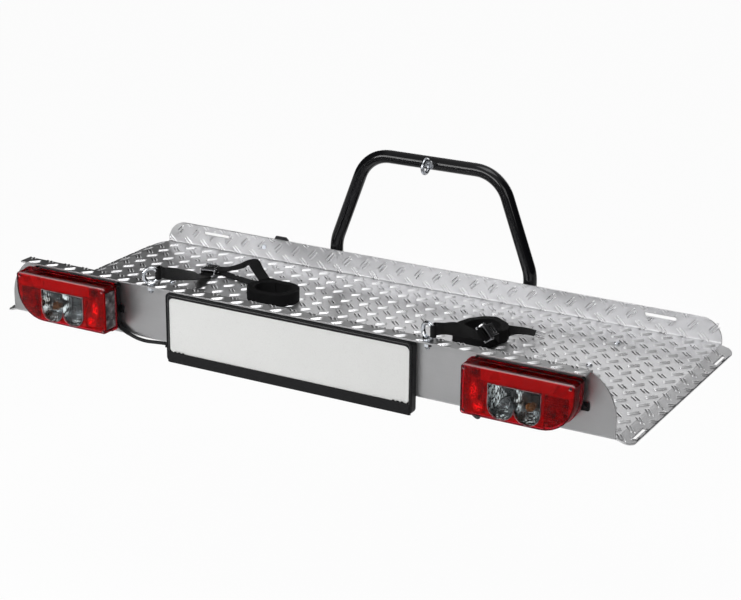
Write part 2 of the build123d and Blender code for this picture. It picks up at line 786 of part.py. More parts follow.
# Lamps
lens_front_y = front_y - lamp_depth
lens_back_y = front_y - lamp_base_depth
lens_depth = lamp_depth - lamp_base_depth
corner_screws = [(8, 88), (8, 8), (lamp_width - 10, 88)]
bulb_places = [(27, 40), (80, 34), (130, 34)]
side_window_low = 10.0
side_window_high = 84.0
side_window_edge = 4.0
post_r = 5.0
recess_r = 3.6
recess_depth = 6.0
screw_r = 2.0
base_wall = 2.5
ear_length = 10.0
ear_width = 16.0
ear_corner_r = 3.0
outer_ear_length = 26.0
outer_ear_in = 9.0
bulb_cap = 5.0
divider_thick = 1.5
lens_screw_head = 2.4
bolt_head_r = 3.6
bolt_head_h = 2.2
mirror_gap = 3.6
mirror_thick = 1.5
divider_height = 26.0
socket_length = 12.0
bulb_socket_r = 7.5
lamp_gland_r = 5.0
lamp_gland_length = 8.0
left_cable_way = Vector(*left_route[1]) - Vector(*left_route[0])
back_of_lamp = Plane.XZ.offset(-front_y)
back_of_lens = Plane.XZ.offset(-lens_back_y)
front_of_lens = Plane.XZ.offset(-lens_front_y)
for lamp_name, side in (("left_lamp", -1), ("right_lamp", 1)):
    screw_places = [(side * (lamp_inner_x + u), above(lamp_bottom + v)) for u, v in corner_screws]
    bolt_places = [(side * x, above(lamp_screw_z)) for x in lamp_bolt_x]
    lights = [(side * (lamp_inner_x + u), above(lamp_bottom + v)) for u, v in bulb_places]
    outer_x = side * (lamp_inner_x + lamp_width)
    pane_z = above(lamp_bottom + (side_window_low + side_window_high) / 2)
    pane_height = side_window_high - side_window_low
    pane_depth = lens_depth - 2 * side_window_edge
    pane_plane = Plane((side * lamp_inner_x, (lens_front_y + lens_back_y) / 2, pane_z), x_dir=(0, 1, 0),
                       z_dir=(-side, 0, 0))

    # Black base, a shallow tray with two fixing ears
    with BuildPart() as base:
        with BuildSketch(back_of_lamp):
            lamp_outline(side, base_inset)
        extrude(amount=lamp_base_depth)
        with BuildSketch(back_of_lamp.offset(base_wall)):
            lamp_outline(side, base_inset + base_wall)
        extrude(amount=lamp_base_depth, mode=Mode.SUBTRACT)
        with BuildSketch(back_of_lamp):
            with Locations(*screw_places):
                Circle(post_r)
        extrude(amount=lamp_base_depth)
        # The left cable leaves through a gland at the lower inner corner, the right one through the floor
        if side == -1:
            with BuildSketch(Plane(left_route[0], z_dir=left_cable_way)):
                Circle(lamp_gland_r)
            extrude(amount=-lamp_gland_length)
        with BuildSketch(back_of_lamp):
            with Locations((side * (lamp_inner_x + base_inset - ear_length / 2 + 1), above(lamp_screw_z))):
                RectangleRounded(ear_length + 2, ear_width, ear_corner_r)
            with Locations((outer_x - side * outer_ear_in, above(lamp_screw_z))):
                RectangleRounded(outer_ear_length, ear_width, ear_corner_r)
        extrude(amount=base_wall)
        with BuildSketch(back_of_lamp):
            with Locations(*bolt_places):
                Circle(small_screw_r + slip)
        extrude(amount=base_wall, mode=Mode.SUBTRACT)
        with BuildSketch(back_of_lens):
            with Locations(*screw_places):
                Circle(screw_r + slip)
        extrude(amount=-lamp_base_depth + base_wall, mode=Mode.SUBTRACT)
    save(base, lamp_name + "_base")

    # Red lens, a shell with recessed screw posts and openings for the clear windows
    with BuildPart() as lens:
        with BuildSketch(back_of_lens):
            lamp_outline(side, 0)
        extrude(amount=lens_depth)
        fillet(lens.faces().sort_by(Axis.Y)[0].edges(), radius=lens_edge_r)
        with BuildSketch(back_of_lens):
            lamp_outline(side, lens_wall)
        extrude(amount=lens_depth - lens_wall, mode=Mode.SUBTRACT)
        with BuildSketch(back_of_lens):
            with Locations(*screw_places):
                Circle(post_r)
        extrude(amount=lens_depth - lens_wall)
        with BuildSketch(front_of_lens):
            window_outline(side, 0)
        extrude(amount=-lens_wall, mode=Mode.SUBTRACT)
        with BuildSketch(pane_plane):
            Rectangle(pane_depth, pane_height)
        extrude(amount=-lens_wall, mode=Mode.SUBTRACT)
        with BuildSketch(front_of_lens):
            with Locations(*screw_places):
                Circle(recess_r)
        extrude(amount=-recess_depth, mode=Mode.SUBTRACT)
        with BuildSketch(front_of_lens):
            with Locations(*screw_places):
                Circle(screw_r + slip)
        extrude(amount=-lens_depth, mode=Mode.SUBTRACT)
    save(lens, lamp_name + "_lens")

    # Clear front window and clear side window
    with BuildPart() as windows:
        with BuildSketch(front_of_lens):
            window_outline(side, -slip)
        extrude(amount=-lens_wall)
        with BuildSketch(pane_plane):
            Rectangle(pane_depth - 2 * slip, pane_height - 2 * slip)
        extrude(amount=-lens_wall)
    save(windows, lamp_name + "_windows")

    # Bright reflector plate with two dividing walls and the bulb sockets
    with BuildPart() as reflector:
        with BuildSketch(back_of_lens.offset(slip)):
            lamp_outline(side, lens_wall + slip)
            with Locations(*screw_places):
                Circle(post_r + slip, mode=Mode.SUBTRACT)
        extrude(amount=mirror_thick)
        for wall_u in (window_in - 6, window_in + window_width + 6):
            with BuildSketch(back_of_lens.offset(slip)):
                with Locations((side * (lamp_inner_x + wall_u), above(lamp_bottom + lamp_height / 2))):
                    Rectangle(divider_thick, lamp_height - 2 * mirror_gap)
            extrude(amount=divider_height)
        with BuildSketch(back_of_lens.offset(slip)):
            with Locations(*lights):
                Circle(bulb_socket_r)
        extrude(amount=socket_length)
    save(reflector, lamp_name + "_reflector")

    # Bulbs, a round glass on a cap in each socket
    with BuildPart() as bulbs:
        with BuildSketch(back_of_lens.offset(slip + socket_length)):
            with Locations(*lights):
                Circle(bulb_socket_r - 1.5)
        extrude(amount=bulb_cap)
        for light_x, light_z in lights:
            bulb_y = lens_back_y - slip - socket_length - bulb_cap - bulb_r * 0.6
            with Locations((light_x, bulb_y, light_z)):
                Sphere(bulb_r * 0.8)
    save(bulbs, lamp_name + "_bulbs")

    # Recessed screws that hold the lens to the base
    with BuildPart() as screws:
        with BuildSketch(front_of_lens.offset(-recess_depth)):
            with Locations(*screw_places):
                Circle(recess_r - play)
        extrude(amount=lens_screw_head)
        with BuildSketch(front_of_lens.offset(-recess_depth)):
            with Locations(*screw_places):
                Circle(screw_r)
        extrude(amount=-(lamp_depth - recess_depth - base_wall - 2))
    save(screws, lamp_name + "_screws")

    # Bolts that hold the ears to the plate
    with BuildPart() as bolts:
        with BuildSketch(back_of_lamp.offset(base_wall)):
            with Locations(*bolt_places):
                Circle(bolt_head_r)
        extrude(amount=bolt_head_h)
        with BuildSketch(back_of_lamp.offset(base_wall)):
            with Locations(*bolt_places):
                Circle(small_screw_r)
        extrude(amount=-(base_wall + sheet + 6))
        with BuildSketch(back_of_lamp.offset(-sheet)):
            with Locations(*bolt_places):
                RegularPolygon(small_hex_r, 6)
        extrude(amount=-small_nut_h)
    save(bolts, lamp_name + "_bolts")

# Number plate holder, a frame with a rim, hollow behind, with screw posts
holder_x = plate_length / 2 + holder_side
holder_high = above(plate_bottom + plate_height + holder_top)
holder_low = above(plate_bottom - holder_bottom)
plate_seat_y = front_y - holder_depth
strip_top = above(plate_bottom + 1)
strip_pivot_z = holder_low + 1.8
strip_half_depth = 1.7
strip_front_y = plate_seat_y - holder_rim - 0.9
strip_pivot_y = strip_front_y + strip_half_depth
strip_end = holder_x - 5
pin_r = 1.0
pin_skin = 2.0
screw_post_r = 7.0
screw_recess_r = 5.2
screw_recess = 3.0
screw_head_r = 4.8
screw_head_h = 2.8
holder_plane = Plane.XZ.offset(-front_y)
holder_screws_at = [(x, above(z)) for x in holder_screw_x for z in (25, 85)]
plate_middle_z = above(plate_bottom + plate_height / 2)
holder_middle_z = (holder_high + holder_low) / 2
holder_height = holder_high - holder_low
with BuildPart() as plate_holder:
    with BuildSketch(holder_plane):
        with Locations((0, holder_middle_z)):
            RectangleRounded(2 * holder_x, holder_height, plate_corner_r + 1)
    extrude(amount=holder_depth + holder_rim)
    # The pocket that the plate lies in, open at the strip
    with BuildSketch(holder_plane.offset(holder_depth)):
        with Locations((0, plate_middle_z)):
            RectangleRounded(plate_length + 2 * fit, plate_height + 2 * fit, plate_corner_r)
        with Locations((0, (strip_top + holder_low) / 2)):
            Rectangle(2 * (strip_end + fit), strip_top - holder_low + 2 * fit)
    extrude(amount=holder_rim, mode=Mode.SUBTRACT)
    # Hollow back
    with BuildSketch(holder_plane):
        with Locations((0, holder_middle_z)):
            hollow_length = 2 * (holder_x - holder_wall)
            RectangleRounded(hollow_length, holder_height - 2 * holder_wall, plate_corner_r - 2)
        with Locations(*holder_screws_at):
            Circle(screw_post_r, mode=Mode.SUBTRACT)
    extrude(amount=holder_depth - holder_wall, mode=Mode.SUBTRACT)
    # Screw holes with recesses for the heads
    with BuildSketch(holder_plane):
        with Locations(*holder_screws_at):
            Circle(small_screw_r + fit)
    extrude(amount=holder_depth, mode=Mode.SUBTRACT)
    with BuildSketch(holder_plane.offset(holder_depth)):
        with Locations(*holder_screws_at):
            Circle(screw_recess_r)
    extrude(amount=-screw_recess, mode=Mode.SUBTRACT)
    # Groove for the strip's round foot and holes for its end pins
    with BuildSketch(Plane.YZ.offset(-strip_end - fit)):
        with Locations((strip_pivot_y, strip_pivot_z)):
            Circle(strip_half_depth + fit)
        with Locations((strip_pivot_y - 3, strip_pivot_z - 3)):
            Rectangle(2 * (3 + strip_half_depth + fit), 6)
    extrude(amount=2 * (strip_end + fit), mode=Mode.SUBTRACT)
    with BuildSketch(Plane.YZ.offset(-holder_x + pin_skin)):
        with Locations((strip_pivot_y, strip_pivot_z)):
            Circle(pin_r + slip)
    extrude(amount=2 * (holder_x - pin_skin), mode=Mode.SUBTRACT)
save(plate_holder, "plate_holder")

with BuildPart() as number_plate:
    with BuildSketch(holder_plane.offset(holder_depth + slip)):
        with Locations((0, plate_middle_z)):
            RectangleRounded(plate_length, plate_height, plate_corner_r)
    extrude(amount=plate_thick)
save(number_plate, "number_plate")

with BuildPart() as holder_screws:
    with BuildSketch(holder_plane.offset(holder_depth - screw_recess)):
        with Locations(*holder_screws_at):
            Circle(screw_head_r)
    extrude(amount=screw_head_h)
    with BuildSketch(holder_plane.offset(holder_depth - screw_recess)):
        with Locations(*holder_screws_at):
            Circle(small_screw_r)
    extrude(amount=-(holder_depth + sheet + 3))
    with BuildSketch(holder_plane.offset(-sheet)):
        with Locations(*holder_screws_at):
            RegularPolygon(small_hex_r, 6)
    extrude(amount=-small_nut_h)
save(holder_screws, "holder_screws")

# Strip that flips down to let the plate out; its lip laps over the plate's lower edge
plate_face_y = plate_seat_y - slip - plate_thick
lip_back_y = plate_face_y - play
with BuildPart() as plate_strip:
    with BuildSketch(Plane.YZ.offset(-strip_end)):
        with Locations((strip_pivot_y, strip_pivot_z)):
            Circle(strip_half_depth)
        with BuildLine():
            Polyline(
                (strip_front_y, strip_pivot_z),
                (strip_front_y, strip_top),
                (lip_back_y, strip_top),
                (lip_back_y, above(plate_bottom) - 2 * fit),
                (strip_pivot_y + strip_half_depth, above(plate_bottom) - 2 * fit),
                (strip_pivot_y + strip_half_depth, strip_pivot_z),
                close=True,
            )
        make_face()
    extrude(amount=2 * strip_end)
    with BuildSketch(Plane.YZ.offset(-holder_x + pin_skin + fit)):
        with Locations((strip_pivot_y, strip_pivot_z)):
            Circle(pin_r)
    extrude(amount=2 * (holder_x - pin_skin - fit))
save(plate_strip, "plate_strip")


def bar(centre, axis, radius, length):
    """Adds a round bar centred on a point."""
    with BuildSketch(Plane(centre, z_dir=axis)) as section:
        Circle(radius)
    extrude(section.sketch, amount=length / 2, both=True)


def strap_eye(wire, inner_r, width, neck):
    """Adds a strap's loop round a wire along the plane's normal; the strap leaves along its X."""
    outer_r = inner_r + web_thick
    with BuildSketch(wire) as loop:
        Circle(outer_r)
        with Locations(((outer_r + neck) / 2, 0)):
            Rectangle(outer_r + neck, 2 * web_thick)
        Circle(inner_r, mode=Mode.SUBTRACT)
    extrude(loop.sketch, amount=width / 2, both=True)


def ribbon(stations, thick):
    """Adds a twisted band; a station is a centre, a width direction, a width and a travel direction."""
    sections = []
    for centre, across, width, travel in stations:
        travel = Vector(*travel)
        across = Vector(*across)
        level = across - travel * (across.dot(travel) / travel.dot(travel))
        with BuildSketch(Plane(centre, x_dir=level, z_dir=travel)) as section:
            Rectangle(width, thick)
        sections.append(section.sketch)
    loft(sections, ruled=True)


# Cam buckles: a frame with two bars and a pin, and a sprung cam whose slotted lever lies closed
buckle_half = 15.0
buckle_cheek = 2.0
cheek_low = 4.5
cheek_edge_r = 1.5
pin_cover = 4.0
rear_bar_up = 0.5
buckle_width = web_width + 6
bar_at = 13.0
front_bar_r = 2.0
rear_bar_r = 1.5
cam_pin_r = 2.0
cam_pin_up = 10.0
cam_r = 5.0
cam_lever = 24.0
cam_lever_thick = 2.5
cam_slot = 5.0
cam_slot_span = 17.0
cam_slots_at = (10.0, 18.0)
left_buckle = Plane(
    (-432, behind(372), above(6)),
    x_dir=(-0.1, 0.995, 0),
    z_dir=(0, 0, 1),
)
right_buckle = Plane(
    (272, behind(262), above(38)),
    x_dir=(0.04, 0.995, -0.116),
    z_dir=(0.723, 0.049, 0.661),
)


def on_buckle(buckle, along, across, up):
    """The point of a buckle at a distance along the strap, across it and up from its back."""
    return buckle.origin + buckle.x_dir * along + buckle.y_dir * across + buckle.z_dir * up


for name, buckle in (("left_buckle", left_buckle), ("right_buckle", right_buckle)):
    pin_centre = on_buckle(buckle, 0, 0, cam_pin_up)
    outside = buckle_width / 2 + buckle_cheek
    with BuildPart() as frame:
        for side in (-1, 1):
            cheek_at = on_buckle(buckle, 0, side * (buckle_width + buckle_cheek) / 2, 0)
            with BuildSketch(Plane(cheek_at, x_dir=buckle.x_dir, z_dir=-buckle.y_dir)):
                with BuildLine():
                    FilletPolyline(
                        (-buckle_half, 0),
                        (buckle_half, 0),
                        (buckle_half, cheek_low),
                        (8, cheek_low),
                        (5, cam_pin_up + pin_cover),
                        (-5, cam_pin_up + pin_cover),
                        (-8, cheek_low),
                        (-buckle_half, cheek_low),
                        radius=[cheek_edge_r] * 8,
                        close=True,
                    )
                make_face()
            extrude(amount=buckle_cheek / 2, both=True)
        front_bar = on_buckle(buckle, -bar_at, 0, front_bar_r)
        bar(front_bar, buckle.y_dir, front_bar_r, buckle_width + 1)
        bar(on_buckle(buckle, bar_at, 0, rear_bar_up), buckle.y_dir, rear_bar_r, buckle_width + 1)
        bar(pin_centre, buckle.y_dir, cam_pin_r, 2 * outside + 1)
    save(frame, name + "_frame")

    with BuildPart() as cam:
        bar(pin_centre, buckle.y_dir, cam_r, buckle_width - 2 * fit)
        with BuildSketch(Plane(pin_centre, x_dir=buckle.x_dir, z_dir=-buckle.y_dir)):
            with Locations((cam_lever / 2, cam_r - cam_lever_thick / 2)):
                Rectangle(cam_lever, cam_lever_thick)
            with Locations((cam_lever, cam_r - cam_lever_thick / 2)):
                Circle(cam_lever_thick * 0.7)
        extrude(amount=web_width / 2, both=True)
        with BuildSketch(Plane(pin_centre, z_dir=buckle.y_dir)):
            Circle(cam_pin_r + play)
        extrude(amount=buckle_width, both=True, mode=Mode.SUBTRACT)
        with BuildSketch(Plane(pin_centre, x_dir=buckle.x_dir, z_dir=buckle.z_dir)):
            with Locations(*[(slot_at, 0) for slot_at in cam_slots_at]):
                Rectangle(cam_slot, cam_slot_span)
        extrude(amount=cam_r + 1, mode=Mode.SUBTRACT)
    save(cam, name + "_cam")

# Where the straps meet the rings: the left ring's right arm and the right ring's right arm
left_arm_way = Vector(math.cos(math.radians(left_eye_turn)), math.sin(math.radians(left_eye_turn)), 0)
right_arm_way = Vector(math.cos(math.radians(right_eye_turn)), math.sin(math.radians(right_eye_turn)), 0)
left_arm = Vector(-eave_eye_x, eave_eye_y, eye_ring_z) + left_arm_way * eye_ring_r
right_arm = Vector(eave_eye_x, eave_eye_y, eye_ring_z) + right_arm_way * eye_ring_r
eye_inner_r = eye_wire_r + 1.4
eye_width = 8.0
eye_neck = 6.0
bar_neck = 5.0
bar_eye_r = front_bar_r + 0.5
double_web = 2 * web_thick
web_layer = 1.6
layer_up = 2 * rear_bar_r - 1 + rear_bar_up + web_layer / 2


def strap_run(name, arm, buckle, middle_stations):
    """Makes the doubled strap from its ring to the front bar of its buckle."""
    bar_centre = on_buckle(buckle, -bar_at, 0, front_bar_r)
    level = Vector(bar_centre.X - arm.X, bar_centre.Y - arm.Y, 0).normalized()
    reach = eye_inner_r + web_thick + eye_neck
    bar_reach = bar_eye_r + web_thick + bar_neck
    with BuildPart() as run:
        strap_eye(Plane(arm, x_dir=level, z_dir=(0, 0, 1)), eye_inner_r, eye_width, eye_neck)
        at_bar = Plane(bar_centre, x_dir=-buckle.x_dir, z_dir=buckle.y_dir)
        strap_eye(at_bar, bar_eye_r, web_width, bar_neck)
        first = (arm + level * (reach - 1), (0, 0, 1), eye_width, level)
        last = (bar_centre - buckle.x_dir * (bar_reach - 1), buckle.y_dir, web_width, buckle.x_dir)
        ribbon([first, *middle_stations, last], double_web)
    save(run, name)


def spin(degrees, travel):
    """A width direction that leans over from upright by some degrees, square to the travel."""
    travel = Vector(*travel).normalized()
    upright = (Vector(0, 0, 1) - travel * travel.Z).normalized()
    flat = upright.cross(travel)
    lean = math.radians(degrees)
    return upright * math.cos(lean) + flat * math.sin(lean)


# Strap rolls, standing on edge: each is one unbroken strip wound in quarter turns
roll_pitch = 3.4
roll_quarters = 20
web_lift = 0.5
roll_low = deck_top + web_lift
roll_mid = roll_low + web_width / 2


def rolled_strip(centre, outer_r, straight, hand, end_angle, name):
    """Adds the wound strip; each quarter turn is wider than the last, with straights at the ends."""
    step = roll_pitch / 4
    radius = outer_r - web_layer / 2 - step * (roll_quarters - 1)
    angle = end_angle - hand * 90 * roll_quarters
    first_side = math.cos(math.radians(angle + hand * 45))
    middle = Vector(*centre) + Vector(math.copysign(straight / 2, first_side), 0)
    samples = []
    with BuildLine() as outline:
        for quarter in range(roll_quarters):
            for offset in (-web_layer / 2, web_layer / 2):
                CenterArc(middle, radius + offset, angle, hand * 90)
            if quarter == 0:
                start = Vector(math.cos(math.radians(angle)), math.sin(math.radians(angle)))
                Line(middle + start * (radius - web_layer / 2), middle + start * (radius + web_layer / 2))
            for part in range(9):
                there = math.radians(angle + hand * part * 10)
                samples.append(middle + Vector(math.cos(there), math.sin(there)) * radius)
            angle += hand * 90
            out = Vector(math.cos(math.radians(angle)), math.sin(math.radians(angle)))
            way = Vector(-out.Y, out.X) * hand
            end = middle + out * radius
            if quarter < roll_quarters - 1:
                if abs(out.Y) > 0.5 and straight:
                    for offset in (-web_layer / 2, web_layer / 2):
                        Line(end + out * offset, end + out * offset + way * straight)
                    end = end + way * straight
                radius += step
                middle = end - out * radius
        Line(end - out * (web_layer / 2), end + out * (web_layer / 2))
    with BuildSketch(Plane.XY.offset(roll_low)) as flat:
        make_face(outline.edges())
    extrude(flat.sketch, amount=web_width)
    gap = min(
        (a - b).length
        for i, a in enumerate(samples)
        for b in samples[i + 20:]
    ) - web_layer
    print(name, "turns", roll_quarters / 4, "least gap between turns", round(gap, 2))
    return end


left_chord = (-0.33, 0.88, -0.33)
left_middle = [
    ((-303, behind(30), above(130)), spin(0, left_chord), 22, left_chord),
    ((-338, behind(100), above(102)), spin(12, left_chord), web_width, left_chord),
    ((-373, behind(200), above(65)), spin(34, left_chord), web_width, left_chord),
    ((-407, behind(300), above(29)), spin(62, left_chord), web_width, left_chord),
    ((-424, behind(338), above(13)), spin(82, left_chord), web_width, (-0.2, 0.95, -0.2)),
]
right_chord = (-0.11, 0.92, -0.37)
right_middle = [
    ((304, behind(30), above(129)), spin(0, right_chord), 22, right_chord),
    ((290, behind(100), above(104)), spin(10, right_chord), web_width, right_chord),
    ((280, behind(170), above(75)), spin(26, right_chord), web_width, right_chord),
]

strap_run("left_strap_run", left_arm, left_buckle, left_middle)
strap_run("right_strap_run", right_arm, right_buckle, right_middle)

# The spare strip from each cam to its roll, and the roll
left_roll_at = (-235.5, behind(315.5))
right_roll_at = (237, behind(336))
with BuildPart() as left_strap_roll:
    left_end = rolled_strip(left_roll_at, 46.0, 22, 1, 90, "left roll")
    cam_in = on_buckle(left_buckle, -7, 0, layer_up)
    cam_out = on_buckle(left_buckle, buckle_half + 2, 0, layer_up)
    side_way = left_buckle.y_dir
    ribbon(
        [
            (cam_in, side_way, web_width, left_buckle.x_dir),
            (cam_out, side_way, web_width, left_buckle.x_dir),
            ((-435.5, behind(407), above(5)), side_way, web_width, left_buckle.x_dir),
        ],
        web_layer,
    )
    ribbon(
        [
            ((-448, behind(408), above(4.6)), spin(90, (0.97, -0.22, 0)), web_width, (0.97, -0.22, 0)),
            ((-330, behind(380), above(4.6)), spin(90, (0.97, -0.22, 0)), web_width, (0.97, -0.22, 0)),
            ((-300, behind(370.5), above(10.3)), spin(60, (0.97, -0.22, 0)), web_width, (0.97, -0.22, 0)),
            ((-278, behind(365.5), above(14.7)), spin(30, (0.98, -0.18, 0)), web_width, (0.98, -0.18, 0)),
            ((left_end.X - 30, left_end.Y + 0.4, roll_mid), (0, 0, 1), web_width, (1, -0.02, 0)),
            ((left_end.X, left_end.Y, roll_mid), (0, 0, 1), web_width, (1, 0, 0)),
        ],
        web_layer,
    )
save(left_strap_roll, "left_strap_roll")

with BuildPart() as right_strap_roll:
    right_end = rolled_strip(right_roll_at, 52.5, 3, -1, 0, "right roll")
    cam_in = on_buckle(right_buckle, -7, 0, layer_up)
    cam_out = on_buckle(right_buckle, buckle_half + 2, 0, layer_up)
    ribbon(
        [
            (cam_in, right_buckle.y_dir, web_width, right_buckle.x_dir),
            (cam_out, right_buckle.y_dir, web_width, right_buckle.x_dir),
            ((284, behind(297), above(28)), spin(24, (0.3, 0.8, -0.5)), web_width, (0.3, 0.8, -0.5)),
            ((289.8, behind(315), above(19)), spin(8, (0.15, 0.95, -0.25)), web_width, (0.15, 0.95, -0.25)),
            ((right_end.X, right_end.Y - 4, roll_mid), (0, 0, 1), web_width, (0, 1, 0)),
            ((right_end.X, right_end.Y, roll_mid), (0, 0, 1), web_width, (0, 1, 0)),
        ],
        web_layer,
    )
save(right_strap_roll, "right_strap_roll")

# Free tails of the straps
with BuildPart() as left_strap_tail:
    ribbon(
        [
            ((-446, behind(402), above(11.2)), spin(90, (1, 0, 0)), web_width, (1, 0, 0)),
            ((-412, behind(402), above(13)), spin(82, (1, 0, 0.15)), web_width, (1, 0, 0.15)),
            ((-380, behind(400), above(24)), spin(72, (0.9, -0.05, 0.3)), web_width, (0.9, -0.05, 0.3)),
            ((-350, behind(396), above(38)), spin(60, (0.9, -0.2, 0.3)), web_width, (0.9, -0.2, 0.3)),
            ((-330, behind(389), above(46)), (0.6, 0.65, 0.35), web_width, (0.7, -0.6, 0)),
            ((-305, behind(368), above(40)), (0.7, 0.65, 0.05), web_width, (0.6, -0.5, -0.4)),
            ((-276, behind(347), above(29.9)), (0.7, 0.7, 0), web_width, (0.6, -0.6, -0.1)),
        ],
        web_layer,
    )
save(left_strap_tail, "left_strap_tail")

with BuildPart() as right_strap_tail:
    ribbon(
        [
            ((293.6, behind(341), roll_mid), (0, 0, 1), web_width, (0.1, 0.99, 0)),
            ((299, behind(358), above(17)), spin(-35, (0.3, 0.9, 0)), web_width, (0.3, 0.9, 0)),
            ((310, behind(373), above(17)), spin(-62, (0.55, 0.8, -0.05)), web_width, (0.55, 0.8, -0.05)),
            ((323, behind(386), above(14)), spin(-70, (0.7, 0.7, -0.2)), web_width, (0.7, 0.7, -0.2)),
        ],
        web_layer,
    )
save(right_strap_tail, "right_strap_tail")

# Coupling head that grips the tow ball; it carries the tilt hinge's barrel and the clamp
barrel_r = 20.0
barrel_end = ear_gap - 0.5
head_half = 34.0
head_top = 48.0
head_front = -46.0
head_rear = 62.0
cavity_wall = 12.0
cavity_skirt = 4.0
cavity_r = ball_r + fit
jaw_half = 10.0
jaw_slot_half = jaw_half + 0.5
rod_r = 4.0
rod_z = 35.0
jaw_pivot = (-34.0, 16.0)
lever_pivot = (50.0, 34.0)
pivot_r = 4.0
eccentric_r = 11.5
eccentric_offset = 4.5
eccentric_phase = 40.0
eccentric = (
    lever_pivot[0] - eccentric_offset * math.cos(math.radians(eccentric_phase)),
    lever_pivot[1] + eccentric_offset * math.sin(math.radians(eccentric_phase)),
)
rod_front = -29.0
rod_rear = eccentric[0] - eccentric_r - 0.25
side_plane = Plane.YZ
with BuildPart() as coupling_head:
    with BuildSketch(side_plane.offset(-head_half)):
        with BuildLine():
            FilletPolyline(
                (hinge_y, hinge_z + barrel_r),
                (hinge_y + 18, hinge_z + barrel_r),
                (-26, head_top),
                (head_rear, head_top),
                (head_rear, 12),
                (46, -cavity_skirt),
                (head_front, -cavity_skirt),
                (-52, 10),
                (hinge_y, hinge_z - barrel_r),
                radius=[1, 6, 6, 5, 5, 5, 5, 5, 1],
                close=True,
            )
        make_face()
    extrude(amount=2 * head_half)
    with BuildSketch(side_plane.offset(-barrel_end)):
        with Locations((hinge_y, hinge_z)):
            Circle(barrel_r)
    extrude(amount=2 * barrel_end)
    with BuildSketch(Plane.XY.offset(-cavity_skirt)):
        Circle(cavity_r + cavity_wall)
    extrude(amount=20)
    with Locations((0, 0, 0)):
        Sphere(cavity_r, mode=Mode.SUBTRACT)
    # Bores of the tilt bolt, the clamp rod and the pivot pins
    with BuildSketch(side_plane.offset(-barrel_end)):
        with Locations((hinge_y, hinge_z)):
            Circle(tilt_bolt_r + play)
    extrude(amount=2 * barrel_end, mode=Mode.SUBTRACT)
    with BuildSketch(side_plane.offset(-head_half)):
        with Locations(jaw_pivot, lever_pivot):
            Circle(pivot_r + slip)
    extrude(amount=2 * head_half, mode=Mode.SUBTRACT)
    with BuildSketch(Plane.XZ.offset(-rod_front + 10)):
        with Locations((0, rod_z)):
            Circle(rod_r + play)
    extrude(amount=-90, mode=Mode.SUBTRACT)
    # Slot of the jaw, and the clevis of the lever, open above and behind
    with BuildSketch(side_plane.offset(-jaw_slot_half)):
        with Locations((-31, 19)):
            Rectangle(36, 48)
    extrude(amount=2 * jaw_slot_half, mode=Mode.SUBTRACT)
    with BuildSketch(side_plane.offset(-jaw_slot_half)):
        with Locations((34 + 20, 17 + 20)):
            Rectangle(40, 40)
    extrude(amount=2 * jaw_slot_half, mode=Mode.SUBTRACT)
save(coupling_head, "coupling_head")

with BuildPart() as coupling_pins:
    with BuildSketch(side_plane.offset(-head_half - 2)):
        with Locations(jaw_pivot, lever_pivot):
            Circle(pivot_r)
    extrude(amount=2 * head_half + 4)
save(coupling_pins, "coupling_pins")

# Jaw that presses on the ball's front, with an arm up to the clamp rod
with BuildPart() as clamp_jaw:
    with BuildSketch(side_plane.offset(-jaw_half)):
        with BuildLine():
            FilletPolyline(
                (-44, 40),
                (rod_front - fit, 40),
                (rod_front - fit, 26),
                (-14.5, 2),
                (-14.5, -21),
                (-30, -21),
                (-44, 6),
                radius=[3, 3, 3, 3, 1, 8, 8],
                close=True,
            )
        make_face()
        Circle(cavity_r, mode=Mode.SUBTRACT)
        with Locations(jaw_pivot):
            Circle(pivot_r + play, mode=Mode.SUBTRACT)
    extrude(amount=2 * jaw_half)
save(clamp_jaw, "clamp_jaw")

with BuildPart() as clamp_rod:
    with BuildSketch(Plane.XZ.offset(-rod_front)):
        with Locations((0, rod_z)):
            Circle(rod_r)
    extrude(amount=-(rod_rear - rod_front))
save(clamp_rod, "clamp_rod")

# Clamp lever, an eccentric with an arm forward over the head, and its grip
grip_start = (-36.0, 69.0)
grip_end = (-110.0, 92.0)
arm_rod_r = 5.0
grip_r = 10.0
grip_edge_r = 3.0
rod_overlap = 14.0
lever_width = 12.0
grip_way = Vector(0, grip_end[0] - grip_start[0], grip_end[1] - grip_start[1])
arm_start_y = grip_start[0] + rod_overlap
arm_start_z = grip_start[1] - rod_overlap * 0.31
arm_start = Plane((0, arm_start_y, arm_start_z), z_dir=grip_way)
with BuildPart() as clamp_lever:
    with BuildSketch(side_plane.offset(-jaw_half)):
        with Locations(eccentric):
            Circle(eccentric_r)
        with BuildLine():
            FilletPolyline(eccentric, (38, 66), (-28, 66.5), radius=10)
        trace(line_width=lever_width)
        with Locations(lever_pivot):
            Circle(pivot_r + play, mode=Mode.SUBTRACT)
    extrude(amount=2 * jaw_half)
    with BuildSketch(arm_start):
        Circle(arm_rod_r)
    extrude(amount=grip_way.length + 10)
save(clamp_lever, "clamp_lever")

with BuildPart() as lever_grip:
    with BuildSketch(Plane((0, *grip_start), z_dir=grip_way)):
        Circle(grip_r)
    extrude(amount=grip_way.length)
    fillet(lever_grip.edges(), radius=grip_edge_r)
    with BuildSketch(arm_start):
        Circle(arm_rod_r + slip)
    extrude(amount=grip_way.length + 10 + slip, mode=Mode.SUBTRACT)
save(lever_grip, "lever_grip")

